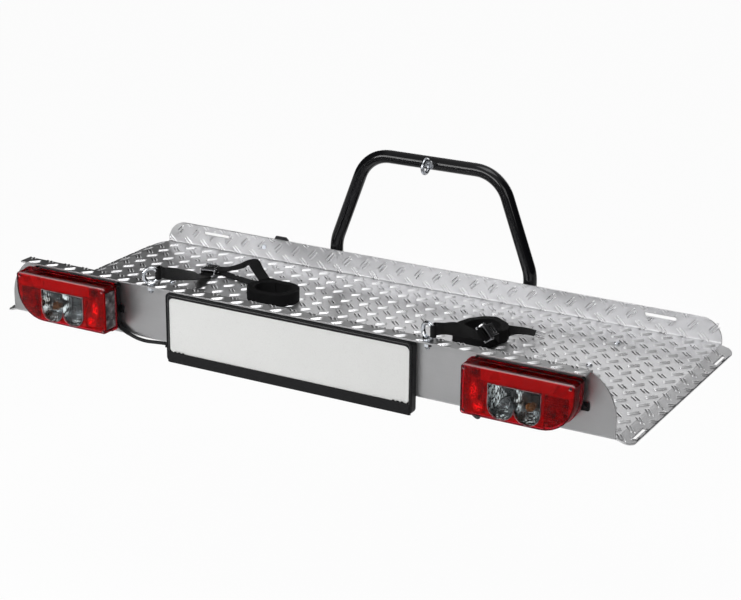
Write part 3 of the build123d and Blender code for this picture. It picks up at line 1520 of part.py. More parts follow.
# Tilt bolt through the ears and the barrel, and the star knob that clamps it
ear_face = ear_gap + ear_thick
knob_r = 22.0
knob_lobe_r = 6.0
knob_neck_r = 12.0
knob_depth = 20.0
bolt_past = 26.0
bolt_hex_r = 10.5
bolt_head_depth = 7.5
knob_start = ear_face + 2
with BuildPart() as tilt_bolt:
    with BuildSketch(side_plane.offset(-ear_face)):
        with Locations((hinge_y, hinge_z)):
            Circle(tilt_bolt_r)
    extrude(amount=2 * ear_face + bolt_past)
    with BuildSketch(side_plane.offset(-ear_face)):
        with Locations((hinge_y, hinge_z)):
            RegularPolygon(bolt_hex_r, 6)
    extrude(amount=-bolt_head_depth)
save(tilt_bolt, "tilt_bolt")

with BuildPart() as tilt_knob:
    with BuildSketch(side_plane.offset(ear_face + fit)):
        with Locations((hinge_y, hinge_z)):
            Circle(knob_neck_r)
    extrude(amount=knob_start - ear_face)
    with BuildSketch(side_plane.offset(knob_start)):
        with Locations((hinge_y, hinge_z)):
            Circle(knob_r - 5)
            with PolarLocations(knob_r - knob_lobe_r, 5):
                Circle(knob_lobe_r)
    extrude(amount=knob_depth)
    fillet(tilt_knob.edges().group_by(Axis.X)[-1], radius=2)
    with BuildSketch(side_plane.offset(ear_face)):
        with Locations((hinge_y, hinge_z)):
            Circle(tilt_bolt_r + play)
    extrude(amount=40, mode=Mode.SUBTRACT)
save(tilt_knob, "tilt_knob")
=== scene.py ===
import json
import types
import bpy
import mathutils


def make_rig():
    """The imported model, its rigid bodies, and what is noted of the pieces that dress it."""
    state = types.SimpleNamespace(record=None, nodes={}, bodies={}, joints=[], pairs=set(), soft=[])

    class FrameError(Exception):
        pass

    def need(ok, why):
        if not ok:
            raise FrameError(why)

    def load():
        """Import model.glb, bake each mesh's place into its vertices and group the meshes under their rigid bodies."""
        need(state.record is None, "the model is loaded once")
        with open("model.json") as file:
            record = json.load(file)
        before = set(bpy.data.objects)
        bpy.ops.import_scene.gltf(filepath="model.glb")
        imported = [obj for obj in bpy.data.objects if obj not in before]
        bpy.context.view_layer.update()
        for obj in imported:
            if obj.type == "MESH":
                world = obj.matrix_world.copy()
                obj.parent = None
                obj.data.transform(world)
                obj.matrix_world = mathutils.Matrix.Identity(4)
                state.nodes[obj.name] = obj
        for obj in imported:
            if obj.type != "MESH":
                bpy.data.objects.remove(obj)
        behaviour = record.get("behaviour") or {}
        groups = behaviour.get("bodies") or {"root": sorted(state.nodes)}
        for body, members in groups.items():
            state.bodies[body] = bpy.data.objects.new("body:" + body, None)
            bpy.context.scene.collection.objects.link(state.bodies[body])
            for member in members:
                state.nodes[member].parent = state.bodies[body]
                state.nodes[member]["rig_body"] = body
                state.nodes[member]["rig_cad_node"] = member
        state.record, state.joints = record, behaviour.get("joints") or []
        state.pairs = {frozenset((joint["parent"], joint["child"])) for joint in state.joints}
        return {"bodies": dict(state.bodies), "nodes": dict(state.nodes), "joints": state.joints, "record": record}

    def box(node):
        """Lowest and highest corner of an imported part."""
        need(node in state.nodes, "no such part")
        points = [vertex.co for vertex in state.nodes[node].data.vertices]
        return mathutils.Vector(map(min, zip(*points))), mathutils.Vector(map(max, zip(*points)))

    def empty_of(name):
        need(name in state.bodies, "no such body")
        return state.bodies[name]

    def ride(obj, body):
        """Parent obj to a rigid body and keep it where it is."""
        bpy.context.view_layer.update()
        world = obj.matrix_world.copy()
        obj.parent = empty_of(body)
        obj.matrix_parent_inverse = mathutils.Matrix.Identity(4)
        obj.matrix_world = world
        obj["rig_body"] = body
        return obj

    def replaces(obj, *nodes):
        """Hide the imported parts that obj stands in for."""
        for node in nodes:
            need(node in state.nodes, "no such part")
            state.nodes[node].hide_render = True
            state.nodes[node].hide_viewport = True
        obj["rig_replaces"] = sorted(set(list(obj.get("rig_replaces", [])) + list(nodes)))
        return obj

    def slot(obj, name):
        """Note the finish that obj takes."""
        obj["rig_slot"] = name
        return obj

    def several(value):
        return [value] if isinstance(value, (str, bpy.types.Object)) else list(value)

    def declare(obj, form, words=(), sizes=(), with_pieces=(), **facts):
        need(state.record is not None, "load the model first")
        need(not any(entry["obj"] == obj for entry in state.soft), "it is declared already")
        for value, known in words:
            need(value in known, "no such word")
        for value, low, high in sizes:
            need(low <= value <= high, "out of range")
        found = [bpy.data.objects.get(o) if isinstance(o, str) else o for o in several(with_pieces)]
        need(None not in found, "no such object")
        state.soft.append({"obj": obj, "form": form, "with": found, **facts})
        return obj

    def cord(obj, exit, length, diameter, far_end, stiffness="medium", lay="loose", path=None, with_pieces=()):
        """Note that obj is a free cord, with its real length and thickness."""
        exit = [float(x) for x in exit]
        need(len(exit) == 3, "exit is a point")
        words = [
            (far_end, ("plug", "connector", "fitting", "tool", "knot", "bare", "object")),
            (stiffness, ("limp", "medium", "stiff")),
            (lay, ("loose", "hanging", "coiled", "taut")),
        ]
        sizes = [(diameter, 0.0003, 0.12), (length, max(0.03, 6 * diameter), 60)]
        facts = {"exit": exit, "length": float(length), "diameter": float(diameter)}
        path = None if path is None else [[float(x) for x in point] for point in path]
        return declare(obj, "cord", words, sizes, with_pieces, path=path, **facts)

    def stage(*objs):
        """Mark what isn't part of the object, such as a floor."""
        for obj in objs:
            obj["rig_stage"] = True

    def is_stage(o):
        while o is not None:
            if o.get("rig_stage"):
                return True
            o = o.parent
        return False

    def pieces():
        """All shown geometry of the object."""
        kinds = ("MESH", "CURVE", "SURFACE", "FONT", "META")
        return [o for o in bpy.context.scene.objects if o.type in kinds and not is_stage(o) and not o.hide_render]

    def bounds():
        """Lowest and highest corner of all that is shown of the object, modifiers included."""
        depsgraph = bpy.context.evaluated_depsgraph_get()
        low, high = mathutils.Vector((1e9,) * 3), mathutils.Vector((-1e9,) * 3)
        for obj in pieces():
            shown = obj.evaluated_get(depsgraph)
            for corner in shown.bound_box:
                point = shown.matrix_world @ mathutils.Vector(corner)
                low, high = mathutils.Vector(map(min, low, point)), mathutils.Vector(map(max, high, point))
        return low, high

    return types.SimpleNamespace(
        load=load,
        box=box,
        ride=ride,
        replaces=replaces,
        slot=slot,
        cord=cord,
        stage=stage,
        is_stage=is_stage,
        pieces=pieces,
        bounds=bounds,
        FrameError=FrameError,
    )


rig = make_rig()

bl_info = {
    "name": "Hitch cargo platform",
    "version": (1, 0, 0),
    "blender": (4, 5, 0),
    "location": "View3D > Sidebar > Platform",
    "description": "Finishes a tow-ball cargo platform: tread plate, lamps, holder, straps and cables",
    "category": "Object",
}

import json
import math
import random
from functools import reduce
from operator import or_

import bmesh
import bpy
from bpy.props import FloatProperty, FloatVectorProperty, PointerProperty
from mathutils import Matrix, Vector

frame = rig.load()
nodes = frame["nodes"]
cad_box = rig.bounds()

# Places of the platform, in metres from the centre of the tow ball
PLATE_GAP = 0.0129
FRONT_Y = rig.box("number_plate")[1].y + PLATE_GAP
DECK_Z = 0.100
DECK_TOP = 0.103
EAVE_TOP = 0.221
WALL_TOP = 0.151
HALF_LENGTH = 0.651
UP = Vector((0, 0, 1))


def length(name, description, default):
    """A size in metres."""
    return FloatProperty(name=name, description=description, default=default, unit="LENGTH",
                         subtype="DISTANCE")


def colour(name, description, default):
    """A colour that the finishes start from."""
    return FloatVectorProperty(name=name, description=description, default=default, subtype="COLOR", size=3,
                               min=0, max=1)


class CargoSizes(bpy.types.PropertyGroup):
    """Sizes of the details that the CAD model leaves plain."""

    pitch_x: length("Tread pitch across", "Distance between like tread marks along the tray", 0.04327)
    pitch_y: length("Tread pitch along", "Distance between like tread marks across the tray", 0.04335)
    bar_length: length("Tread bar length", "Length of one raised bar", 0.0285)
    bar_width: length("Tread bar width", "Width of one raised bar at its middle", 0.0048)
    bar_height: length("Tread bar height", "How far a bar stands above the sheet", 0.0015)
    bar_spacing: length("Tread bar spacing", "Distance between the two bars of a pair", 0.0066)
    web_width: length("Webbing width", "Width of the lashing straps", 0.025)
    web_thick: length("Webbing thickness", "Thickness of one layer of webbing", 0.0016)
    cable_width: length("Cable diameter", "Outside diameter of the lighting cables", 0.007)
    stitch_length: length("Stitch length", "Length of one visible stitch", 0.0026)
    rib_pitch: length("Lens rib pitch", "Distance between the upright ribs inside a lens", 0.0036)
    pillow_pitch: length("Lens pillow pitch", "Distance between the small pillows inside a lens", 0.0045)


class CargoColours(bpy.types.PropertyGroup):
    """Colours of the finishes."""

    aluminium: colour("Aluminium", "Rolled tread plate", (0.67, 0.67, 0.68))
    bar: colour("Tread bars", "Raised bars of the tread plate", (0.80, 0.80, 0.81))
    powder: colour("Powder coat", "Carrier frame", (0.018, 0.018, 0.02))
    hoop: colour("Gloss black", "Hoop", (0.006, 0.006, 0.007))
    zinc: colour("Bright zinc", "Screws, nuts and eye bolts", (0.72, 0.73, 0.75))
    plastic: colour("Black plastic", "Lamp bases, plate holder, caps", (0.008, 0.008, 0.009))
    lens: colour("Red lens", "Lamp lenses", (0.96, 0.03, 0.06))
    plate: colour("Plate white", "Bare number plate", (0.78, 0.785, 0.77))
    webbing: colour("Webbing", "Lashing straps at their palest", (0.017, 0.017, 0.018))
    cast: colour("Cast coating", "Coupling head and clamp", (0.055, 0.057, 0.06))


# Node helpers
class Value:
    """A node's output, worked with as in ordinary arithmetic."""

    def __init__(self, socket):
        self.socket = socket
        self.tree = socket.id_data

    def out(self, name):
        """Another output of the same node."""
        return Value(self.socket.node.outputs[name])

    def __add__(self, other):
        return calc("ADD", self, other)

    def __sub__(self, other):
        return calc("SUBTRACT", self, other)

    def __rsub__(self, other):
        return calc("SUBTRACT", other, self)

    def __mul__(self, other):
        return calc("MULTIPLY", self, other)

    def __truediv__(self, other):
        return calc("DIVIDE", self, other)

    def __rtruediv__(self, other):
        return calc("DIVIDE", other, self)

    def __pow__(self, other):
        return calc("POWER", self, other)

    def __abs__(self):
        return calc("ABSOLUTE", self)

    def __gt__(self, other):
        return calc("GREATER_THAN", self, other)

    def __lt__(self, other):
        return calc("LESS_THAN", self, other)

    def __or__(self, other):
        """The larger number, and either of two tests."""
        return calc("MAXIMUM", self, other)

    def __and__(self, other):
        """The smaller number, and both of two tests."""
        return calc("MINIMUM", self, other)


def put(node, socket, value):
    """Gives a node's input a value, or a link if the value is another node's output."""
    if isinstance(value, Value):
        value.tree.links.new(value.socket, node.inputs[socket])
    else:
        node.inputs[socket].default_value = value


def add(tree, kind, inputs=None, **settings):
    """Adds a node with its settings and inputs, and returns its first output."""
    node = tree.nodes.new(kind)
    for key, value in settings.items():
        setattr(node, key, value)
    for socket, value in (inputs or {}).items():
        put(node, socket, value)
    return Value(node.outputs[0])


def tree_of(values):
    """The tree that the first output among some values belongs to."""
    return next(value.tree for value in values if isinstance(value, Value))


def calc(operation, *values, clamp=False):
    """One number worked out from others."""
    return add(tree_of(values), "ShaderNodeMath", dict(enumerate(values)), operation=operation,
               use_clamp=clamp)


def vector_calc(operation, *values, scale=None):
    """One vector worked out from others."""
    inputs = dict(enumerate(values))
    if scale is not None:
        inputs["Scale"] = scale
    return add(tree_of((*values, scale)), "ShaderNodeVectorMath", inputs, operation=operation)


def measured(operation, *values):
    """One number worked out from vectors."""
    return vector_calc(operation, *values).out("Value")


def apart(vector):
    """The three numbers of a vector."""
    node = add(vector.tree, "ShaderNodeSeparateXYZ", {0: vector})
    return node, node.out(1), node.out(2)


def together(x=0.0, y=0.0, z=0.0):
    """A vector from three numbers."""
    return add(tree_of((x, y, z)), "ShaderNodeCombineXYZ", {0: x, 1: y, 2: z})


def remap(value, low, high, new_low=0.0, new_high=1.0):
    """Maps a range onto another and holds the result inside it."""
    return add(value.tree, "ShaderNodeMapRange", {"Value": value, "From Min": low, "From Max": high,
                                                  "To Min": new_low, "To Max": new_high})


def noise(vector, scale, detail):
    """Soft noise between 0 and 1."""
    return add(vector.tree, "ShaderNodeTexNoise", {"Vector": vector, "Scale": scale, "Detail": detail})


def normal(tree):
    """The direction that a surface faces."""
    return add(tree, "ShaderNodeNewGeometry").out("Normal")


def blend(share, first, second):
    """Two colours mixed by a share."""
    node = add(share.tree, "ShaderNodeMix", {"Factor": share}, data_type="RGBA").socket.node
    for socket, shown in ((6, first), (7, second)):
        put(node, socket, shown if isinstance(shown, Value) else (*shown[:3], 1))
    return Value(node.outputs[2])


NUMBER = "NodeSocketFloat"
VECTOR = "NodeSocketVector"
GEOMETRY = "NodeSocketGeometry"


class Group:
    """A node group under construction; group[NAME] is one of its inputs."""

    def __init__(self, name, kind, inputs, outputs):
        self.tree = bpy.data.node_groups.new(name, kind)
        for way, sockets in (("INPUT", inputs), ("OUTPUT", outputs)):
            for socket, value in sockets.items():
                typed = isinstance(value, str)
                made = self.tree.interface.new_socket(socket.replace("_", " "), in_out=way,
                                                      socket_type=value if typed else NUMBER)
                if not typed:
                    made.default_value = value
        self.start = self.tree.nodes.new("NodeGroupInput")
        self.end = self.tree.nodes.new("NodeGroupOutput")

    def __getitem__(self, name):
        return Value(self.start.outputs[name])

    def add(self, kind, inputs=None, **settings):
        """Adds a node to the group."""
        return add(self.tree, kind, inputs, **settings)

    def give(self, **values):
        """Links the group's outputs."""
        for name, value in values.items():
            put(self.end, name.replace("_", " "), value)


effects = {}


def effect(key, name, outputs, **numbers):
    """Starts an effect that finishes share, which takes a vector and numbers."""
    group = Group(name, "ShaderNodeTree", {"Vector": VECTOR, **numbers}, outputs)
    effects[key] = group.tree
    return group


def make_effects():
    """Builds the effects that several finishes share."""
    # Fine grain: moulded or coated surface, as a height and a slow cloud
    e = effect("grain", "Fine grain", {"Height": NUMBER, "Cloud": NUMBER}, Size=0.001, Cloud_Size=0.05)
    e.give(Height=noise(e["Vector"], 1.0 / e["Size"], 3.0),
           Cloud=noise(e["Vector"], 1.0 / e["Cloud Size"], 4.0))

    # Worn edges: bright where the surface turns, broken up by noise
    e = effect("wear", "Worn edges", {"Mask": NUMBER, "Soft Normal": VECTOR}, Width=0.001, Amount=0.5)
    soft = e.add("ShaderNodeBevel", {"Radius": e["Width"]}, samples=4)
    turn = 1.0 - measured("DOT_PRODUCT", soft, normal(e.tree))
    broken = remap(turn, 0.02, 0.25) * remap(noise(e["Vector"], 60.0, 4.0), 0.45, 0.62)
    e.give(Mask=broken * e["Amount"], Soft_Normal=soft)

    # Rolled streaks: faint long lines as rolled or drawn metal has
    e = effect("streaks", "Rolled streaks", {"Streaks": NUMBER}, Scale=400.0)
    x, y, z = apart(e["Vector"])
    e.give(Streaks=noise(together(x * 0.03, y, z), e["Scale"], 2.0))

    # Dust: pale film that gathers on surfaces that face up
    e = effect("dust", "Dust", {"Mask": NUMBER}, Amount=0.2)
    upward = apart(normal(e.tree))[2]
    film = remap(upward, 0.2, 1.0, 0.15, 1.0) * remap(noise(e["Vector"], 25.0, 6.0), 0.35, 0.75)
    e.give(Mask=film * e["Amount"])

    # Webbing weave: rows of slanting picks between two selvedges, on a map in metres; the Shade output is painted
    # shade, paler on the picks' crowns and darker in the hollows, with random thread tone
    e = effect("weave", "Webbing weave", {"Height": NUMBER, "Shade": NUMBER}, Pick=0.0016, Width=0.025)
    along, across, _ = apart(e["Vector"])
    zigzag = calc("PINGPONG", across / e["Pick"], 1.0)
    hump = calc("SINE", calc("FRACT", along / e["Pick"] + zigzag) * math.pi)
    edge = remap(abs(across / e["Width"] - 0.5), 0.44, 0.48)
    threads = noise(e["Vector"], 2500.0, 1.0)
    e.give(Height=edge * 0.6 + (hump + threads * 0.25), Shade=hump * 0.7 + threads * 0.3)


finishes = {}


class Finish:
    """A material under construction, with its own coordinates."""

    def __init__(self, name, **values):
        finishes[name] = bpy.data.materials.new(name)
        finishes[name].use_nodes = True
        self.tree = finishes[name].node_tree
        self.place = add(self.tree, "ShaderNodeTexCoord").out("Object")
        for key, value in values.items():
            self.set(key.replace("_", " ").title().replace("Ior", "IOR"), value)

    def set(self, socket, value):
        """Sets or links one input of the shader."""
        put(self.tree.nodes["Principled BSDF"], socket, value)

    def effect(self, name, **inputs):
        """The outputs of a shared effect, by name."""
        node = self.tree.nodes.new("ShaderNodeGroup")
        node.node_tree = effects[name]
        for key, value in {"Vector": self.place, **inputs}.items():
            put(node, key.replace("_", " "), value)
        return {socket.name: Value(socket) for socket in node.outputs}

    def grain(self, size, cloud_size):
        """The height of the fine grain and its slow cloud."""
        made = self.effect("grain", Size=size, Cloud_Size=cloud_size)
        return made["Height"], made["Cloud"]

    def rough(self, cloud, smoothest, roughest):
        """Roughness that changes with the cloud."""
        self.set("Roughness", remap(cloud, 0.3, 0.7, smoothest, roughest))

    def bump(self, height, distance, over=None):
        """Relief, over another normal if one is given."""
        inputs = {"Height": height, "Distance": distance, "Strength": 1.0}
        if over is not None:
            inputs["Normal"] = over
        self.set("Normal", add(self.tree, "ShaderNodeBump", inputs))

    def cells(self, scale, feature="F1"):
        """How far each place is from the middles, or from the edges, of a pattern of cells."""
        return add(self.tree, "ShaderNodeTexVoronoi", {"Vector": self.place, "Scale": scale},
                   feature=feature).out("Distance")

    def glow(self, share, shown, strength):
        """Light of a colour where the share is high."""
        self.set("Emission Color", blend(share, (0, 0, 0), shown))
        self.set("Emission Strength", strength)


def surface(name, grain, rough, tones, relief=0.0, clouds=None, wear=None, dust=None, **values):
    """A finish with a fine grain: one tone, or two in clouds, then worn edges, then dust.

    wear is (width, amount, colour) and dust is (amount, colour, added roughness).
    """
    f = Finish(name, **values)
    height, cloud = f.grain(*grain)
    share = remap(cloud, *clouds) if clouds else cloud
    shown = blend(share, *tones) if len(tones) == 2 else tones[0]
    roughness = remap(cloud, 0.3, 0.7, *rough)
    over = None
    if wear:
        worn = f.effect("wear", Width=wear[0], Amount=wear[1])
        shown = blend(worn["Mask"], shown, wear[2])
        over = worn["Soft Normal"]
    if dust:
        film = f.effect("dust", Amount=dust[0])["Mask"]
        shown = blend(film, shown, dust[1])
        roughness = film * dust[2] + roughness
    f.set("Base Color", shown)
    f.set("Roughness", roughness)
    if relief:
        f.bump(height, relief, over)


def make_finishes(colours):
    """Builds every finish but the lamps' own."""
    # Rolled aluminium sheet; its plain side, which the front plate shows, is duller than its tread side
    f = Finish("tread_plate", metallic=1.0)
    height, cloud = f.grain(0.0012, 0.09)
    streaks = f.effect("streaks", Scale=260.0)["Streaks"]
    wear = f.effect("wear", Width=0.0012, Amount=0.8)
    plain = remap(apart(f.place)[1], FRONT_Y + 0.0001, FRONT_Y + 0.0006, 0.62, 1.0)
    shade = remap(cloud, 0.3, 0.7, 0.9, 1.06) * plain
    base = vector_calc("SCALE", tuple(colours.aluminium), scale=shade)
    f.set("Base Color", blend(wear["Mask"], base, (0.9, 0.9, 0.91)))
    f.set("Roughness", streaks * 0.16 + remap(cloud, 0.3, 0.7, 0.26, 0.36))
    f.bump(streaks * 1.2 + height, 0.00006, wear["Soft Normal"])

    # Raised bars: their base colour is painted darker down the flanks towards the sheet, as painted shade
    f = Finish("tread_bar", metallic=1.0)
    height, cloud = f.grain(0.0008, 0.03)
    crown = add(f.tree, "ShaderNodeAttribute", attribute_name="crown").out("Fac")
    # painted shade: darker base colour on the bars' flanks, lighter on their crowns
    film = remap(crown, 0.0, 0.6, 0.5, 1.0) * remap(cloud, 0.3, 0.7, 0.92, 1.06)
    f.set("Base Color", vector_calc("SCALE", tuple(colours.bar), scale=film))
    f.rough(cloud, 0.24, 0.36)
    f.bump(height, 0.00003)

    # Powder coat with its fine orange peel, and the hoop's gloss black
    surface("powder_black", (0.0016, 0.12), (0.36, 0.46), [colours.powder], 0.00012,
            wear=(0.0015, 0.45, (0.10, 0.10, 0.105)), dust=(0.10, (0.16, 0.155, 0.15), 1.2),
            specular_ior_level=0.3, coat_weight=0.15, coat_roughness=0.2)
    surface("gloss_black", (0.012, 0.15), (0.12, 0.2), [colours.hoop], 0.00001,
            dust=(0.006, (0.2, 0.2, 0.2), 0.0), coat_weight=1.0, coat_roughness=0.03, coat_ior=1.4,
            specular_ior_level=0.1)

    # Bright zinc with faint clouds of blue passivation
    surface("zinc", (0.0012, 0.012), (0.16, 0.3), [colours.zinc, (0.62, 0.66, 0.72)], 0.00004, (0.35, 0.65),
            wear=(0.0004, 0.6, (0.92, 0.92, 0.92)), metallic=1.0)

    # Chrome of the buckles, and the dark plated steel of their levers; their edges are painted bright, partly as
    # rubbed wear and partly as painted glints
    surface("chrome", (0.003, 0.01), (0.06, 0.16), [(0.50, 0.51, 0.53), (0.62, 0.62, 0.64)], 0.00002,
            wear=(0.0009, 0.8, (0.95, 0.95, 0.96)), metallic=1.0)
    surface("lever_steel", (0.003, 0.01), (0.14, 0.26), [(0.07, 0.07, 0.075), (0.13, 0.13, 0.135)], 0.00002,
            wear=(0.0012, 1.0, (0.95, 0.95, 0.96)), metallic=1.0)

    # Black moulded plastic, and the same where the mould was polished
    surface("black_plastic", (0.0007, 0.05), (0.3, 0.42), [colours.plastic], 0.00005,
            wear=(0.0012, 0.25, (0.05, 0.05, 0.05)), dust=(0.03, (0.15, 0.15, 0.15), 1.0),
            specular_ior_level=0.18)
    surface("gloss_plastic", (0.002, 0.05), (0.2, 0.3), [colours.plastic, (0.03, 0.03, 0.03)], 0.00003,
            coat_weight=0.8, coat_roughness=0.12)

    # Oxide finish of the black screws, and the cast and coated metal of the coupling
    surface("black_screw", (0.0005, 0.01), (0.3, 0.5), [(0.012, 0.012, 0.013), (0.04, 0.04, 0.042)], 0.00003,
            metallic=0.7)
    surface("cast_metal", (0.0018, 0.04), (0.42, 0.6), [colours.cast], 0.0004,
            wear=(0.0022, 0.8, (0.34, 0.34, 0.35)), dust=(0.12, (0.2, 0.19, 0.18), 0.0), metallic=0.55)

    # Rubber of the grip and of the cables, and sewing thread
    surface("rubber", (0.0009, 0.04), (0.5, 0.66), [(0.011, 0.011, 0.012)], 0.00008,
            dust=(0.10, (0.12, 0.12, 0.12), 0.0))
    surface("cable_rubber", (0.0012, 0.03), (0.38, 0.55), [(0.006, 0.006, 0.006), (0.016, 0.016, 0.017)],
            0.00006, specular_ior_level=0.3)
    surface("thread", (0.0004, 0.004), (0.5, 0.7), [(0.02, 0.02, 0.021), (0.05, 0.05, 0.052)], 0.0001,
            specular_ior_level=0.3)

    # Black webbing, woven on the straps' own map, with painted shade: the weave's hollows darker than its crowns
    f = Finish("webbing", specular_ior_level=0.1)
    weave = f.effect("weave", Vector=add(f.tree, "ShaderNodeTexCoord").out("UV"), Pick=0.0011, Width=0.025)
    f.set("Base Color", blend(weave["Shade"], (0.004, 0.004, 0.004), colours.webbing))
    f.set("Roughness", remap(weave["Shade"], 0.0, 1.0, 0.75, 0.55))
    f.bump(weave["Height"], 0.0003)

    # Blank retroreflective sheet: a fine comb of cells under a clear film
    f = Finish("number_plate", coat_weight=0.5, coat_roughness=0.08)
    comb = remap(f.cells(330.0, "DISTANCE_TO_EDGE"), 0.0, 0.12)
    _, cloud = f.grain(0.02, 0.12)
    white = blend(cloud, colours.plate, [part * 0.97 for part in colours.plate])
    f.set("Base Color", blend(comb, (0.72, 0.72, 0.71), white))
    f.rough(cloud, 0.32, 0.45)
    f.bump(comb, 0.00002)


# Pieces and meshes
def linked(name, data):
    """An object in the scene."""
    thing = bpy.data.objects.new(name, data)
    bpy.context.scene.collection.objects.link(thing)
    return thing


def seat(thing, slot, *replaced, body="platform"):
    """Puts a piece on its body and names its slot and the nodes it stands for."""
    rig.ride(thing, body)
    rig.slot(thing, slot)
    if replaced:
        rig.replaces(thing, *replaced)
    return thing


def show(thing, finish, slot, *replaced, body="platform"):
    """Gives a piece its one finish and seats it."""
    thing.data.materials.clear()
    thing.data.materials.append(finishes[finish])
    return seat(thing, slot, *replaced, body=body)


def dress(finish, *names):
    """Gives CAD nodes a finish."""
    for name in names:
        nodes[name].data.materials.clear()
        nodes[name].data.materials.append(finishes[finish])


def shaded(mesh, degrees=35):
    """Smooth shading with sharp edges where the faces turn by more than an angle."""
    mesh.shade_smooth()
    mesh.set_sharp_from_angle(angle=math.radians(degrees))
    return mesh


def plain_mesh(name, bm, degrees=35):
    """Ends a bmesh as a shaded mesh."""
    mesh = bpy.data.meshes.new(name)
    bm.to_mesh(mesh)
    bm.free()
    return shaded(mesh, degrees)


def closed_mesh(name, bm, degrees=35):
    """Ends a bmesh with its normals turned out."""
    bmesh.ops.recalc_face_normals(bm, faces=bm.faces)
    return plain_mesh(name, bm, degrees)


def smoothed(node, finish, slot):
    """Stands in for a CAD node: the same shape, joined up so that it reflects smoothly."""
    bm = bmesh.new()
    bm.from_mesh(nodes[node].data)
    bmesh.ops.remove_doubles(bm, verts=bm.verts, dist=0.00002)
    show(linked(node + "_smooth", plain_mesh(node, bm)), finish, slot, node)


def lofted(name, *stacks, ends="capped"):
    """A piece of tubes through rings of equally many points, with its ends capped, open or joined."""
    bm = bmesh.new()
    for stack in stacks:
        rings = [[bm.verts.new(point) for point in ring] for ring in stack]
        for first, second in zip(rings, rings[1:] + (rings[:1] if ends == "joined" else [])):
            for k in range(len(first)):
                j = (k + 1) % len(first)
                bm.faces.new((first[k], first[j], second[j], second[k]))
        if ends == "capped":
            bm.faces.new(rings[0][::-1])
            bm.faces.new(rings[-1])
    return linked(name, closed_mesh(name, bm))


def baked(thing):
    """Replaces an object's geometry with what its modifiers make of it."""
    bpy.context.view_layer.update()
    name = thing.name
    mesh = bpy.data.meshes.new_from_object(thing.evaluated_get(bpy.context.evaluated_depsgraph_get()))
    mesh.name = name
    bpy.data.objects.remove(thing)
    return linked(name, mesh)


def cut(thing, tools, joined=()):
    """Adds and takes away closed shapes, and removes the shapes used."""
    for operation, others in (("UNION", joined), ("DIFFERENCE", tools)):
        for other in others:
            modifier = thing.modifiers.new("Cut", "BOOLEAN")
            modifier.operation = operation
            modifier.solver = "EXACT"
            modifier.object = other
    made = baked(thing)
    for other in (*tools, *joined):
        bpy.data.objects.remove(other)
    shaded(made.data)
    return made


def line_carrier(name, runs, radii=None):
    """A curve of straight runs through points, which a tree grows on and whose radii it can read."""
    curve = bpy.data.curves.new(name, "CURVE")
    curve.dimensions = "3D"
    for points in runs:
        spline = curve.splines.new("POLY")
        spline.points.add(len(points) - 1)
        for i, point in enumerate(points):
            spline.points[i].co = (*point, 1)
            if radii:
                spline.points[i].radius = radii[i]
    return curve


def round_lines(name, lines, radius, sides):
    """A curve of smooth round lines through control points, with closed ends."""
    curve = bpy.data.curves.new(name, "CURVE")
    curve.dimensions = "3D"
    for points in lines:
        spline = curve.splines.new("NURBS")
        spline.points.add(len(points) - 1)
        for point, place in zip(spline.points, points):
            point.co = (*place, 1)
        spline.order_u = 3
        spline.use_endpoint_u = True
    curve.bevel_depth = radius
    curve.bevel_resolution = sides
    curve.use_fill_caps = True
    return curve


class Growth(Group):
    """A geometry tree under construction, which takes a carrier, numbers and a material."""

    def __init__(self, name, **numbers):
        super().__init__(name, "GeometryNodeTree", {
            "Geometry": GEOMETRY, **numbers, "Material": "NodeSocketMaterial"}, {"Geometry": GEOMETRY})

    def position(self):
        """The three numbers of each point's place."""
        return apart(self.add("GeometryNodeInputPosition"))

    def join(self, parts):
        """Several geometries as one."""
        node = self.tree.nodes.new("GeometryNodeJoinGeometry")
        for part in parts:
            put(node, 0, part)
        return Value(node.outputs[0])

    def finish(self, geometry):
        """Makes the instances real, sets the material and returns the tree."""
        real = self.add("GeometryNodeRealizeInstances", {0: geometry})
        smooth = self.add("GeometryNodeSetShadeSmooth", {"Geometry": real})
        coated = self.add("GeometryNodeSetMaterial", {"Geometry": smooth, "Material": self["Material"]})
        self.give(Geometry=coated)
        return self.tree


def grow(name, tree, carrier, finish, slot, **numbers):
    """Runs a geometry tree on a carrier with named numbers and seats the plain result."""
    holder = linked(name, carrier)
    modifier = holder.modifiers.new("Grow", "NODES")
    modifier.node_group = tree
    numbers["Material"] = finishes[finish]
    for item in tree.interface.items_tree:
        key = item.name.replace(" ", "_")
        if item.in_out == "INPUT" and key in numbers:
            modifier[item.identifier] = numbers[key]
    return seat(baked(holder), slot)


# The tread pattern lies on the unfolded sheet: x along the tray, s from the eave's edge to the wall's top
EAVE_BEND = 0.006
SHEET_BEND = 0.003
DECK_DEPTH = 0.538
LIP_SLOPE = math.atan(8.5 / 29)
FOLD_S = 0.027 + EAVE_BEND * math.pi / 2
FLOOR_S = FOLD_S + 0.109 + SHEET_BEND * math.pi / 2
FLOOR_END_S = FLOOR_S + 0.529
WALL_S = FLOOR_END_S + SHEET_BEND * math.pi / 2
SHEET_END_S = WALL_S + 0.045
EDGE_GAP = 0.0004
LIP_END = HALF_LENGTH - 0.008
LIP_X = HALF_LENGTH + 0.021 / math.cos(LIP_SLOPE)

# Stretches of the sheet as (from s, to s, half its length for the bars)
STRETCHES = [(-1.0, FOLD_S, 0.600), (FOLD_S, FLOOR_S - 0.003, LIP_END), (WALL_S - 0.002, 1.0, LIP_END)]

# Rounded corners as (middle x, middle s, side of the middle along s, radius, from s)
CORNERS = [(0.562, FOLD_S + 0.079, -1, 0.089, FOLD_S), (0.654, FLOOR_S + 0.020, -1, 0.026, -1.0),
           (0.654, FLOOR_END_S - 0.023, 1, 0.026, -1.0), (0.606, WALL_S, 1, 0.045, -1.0)]
BAR_REACH = 0.006

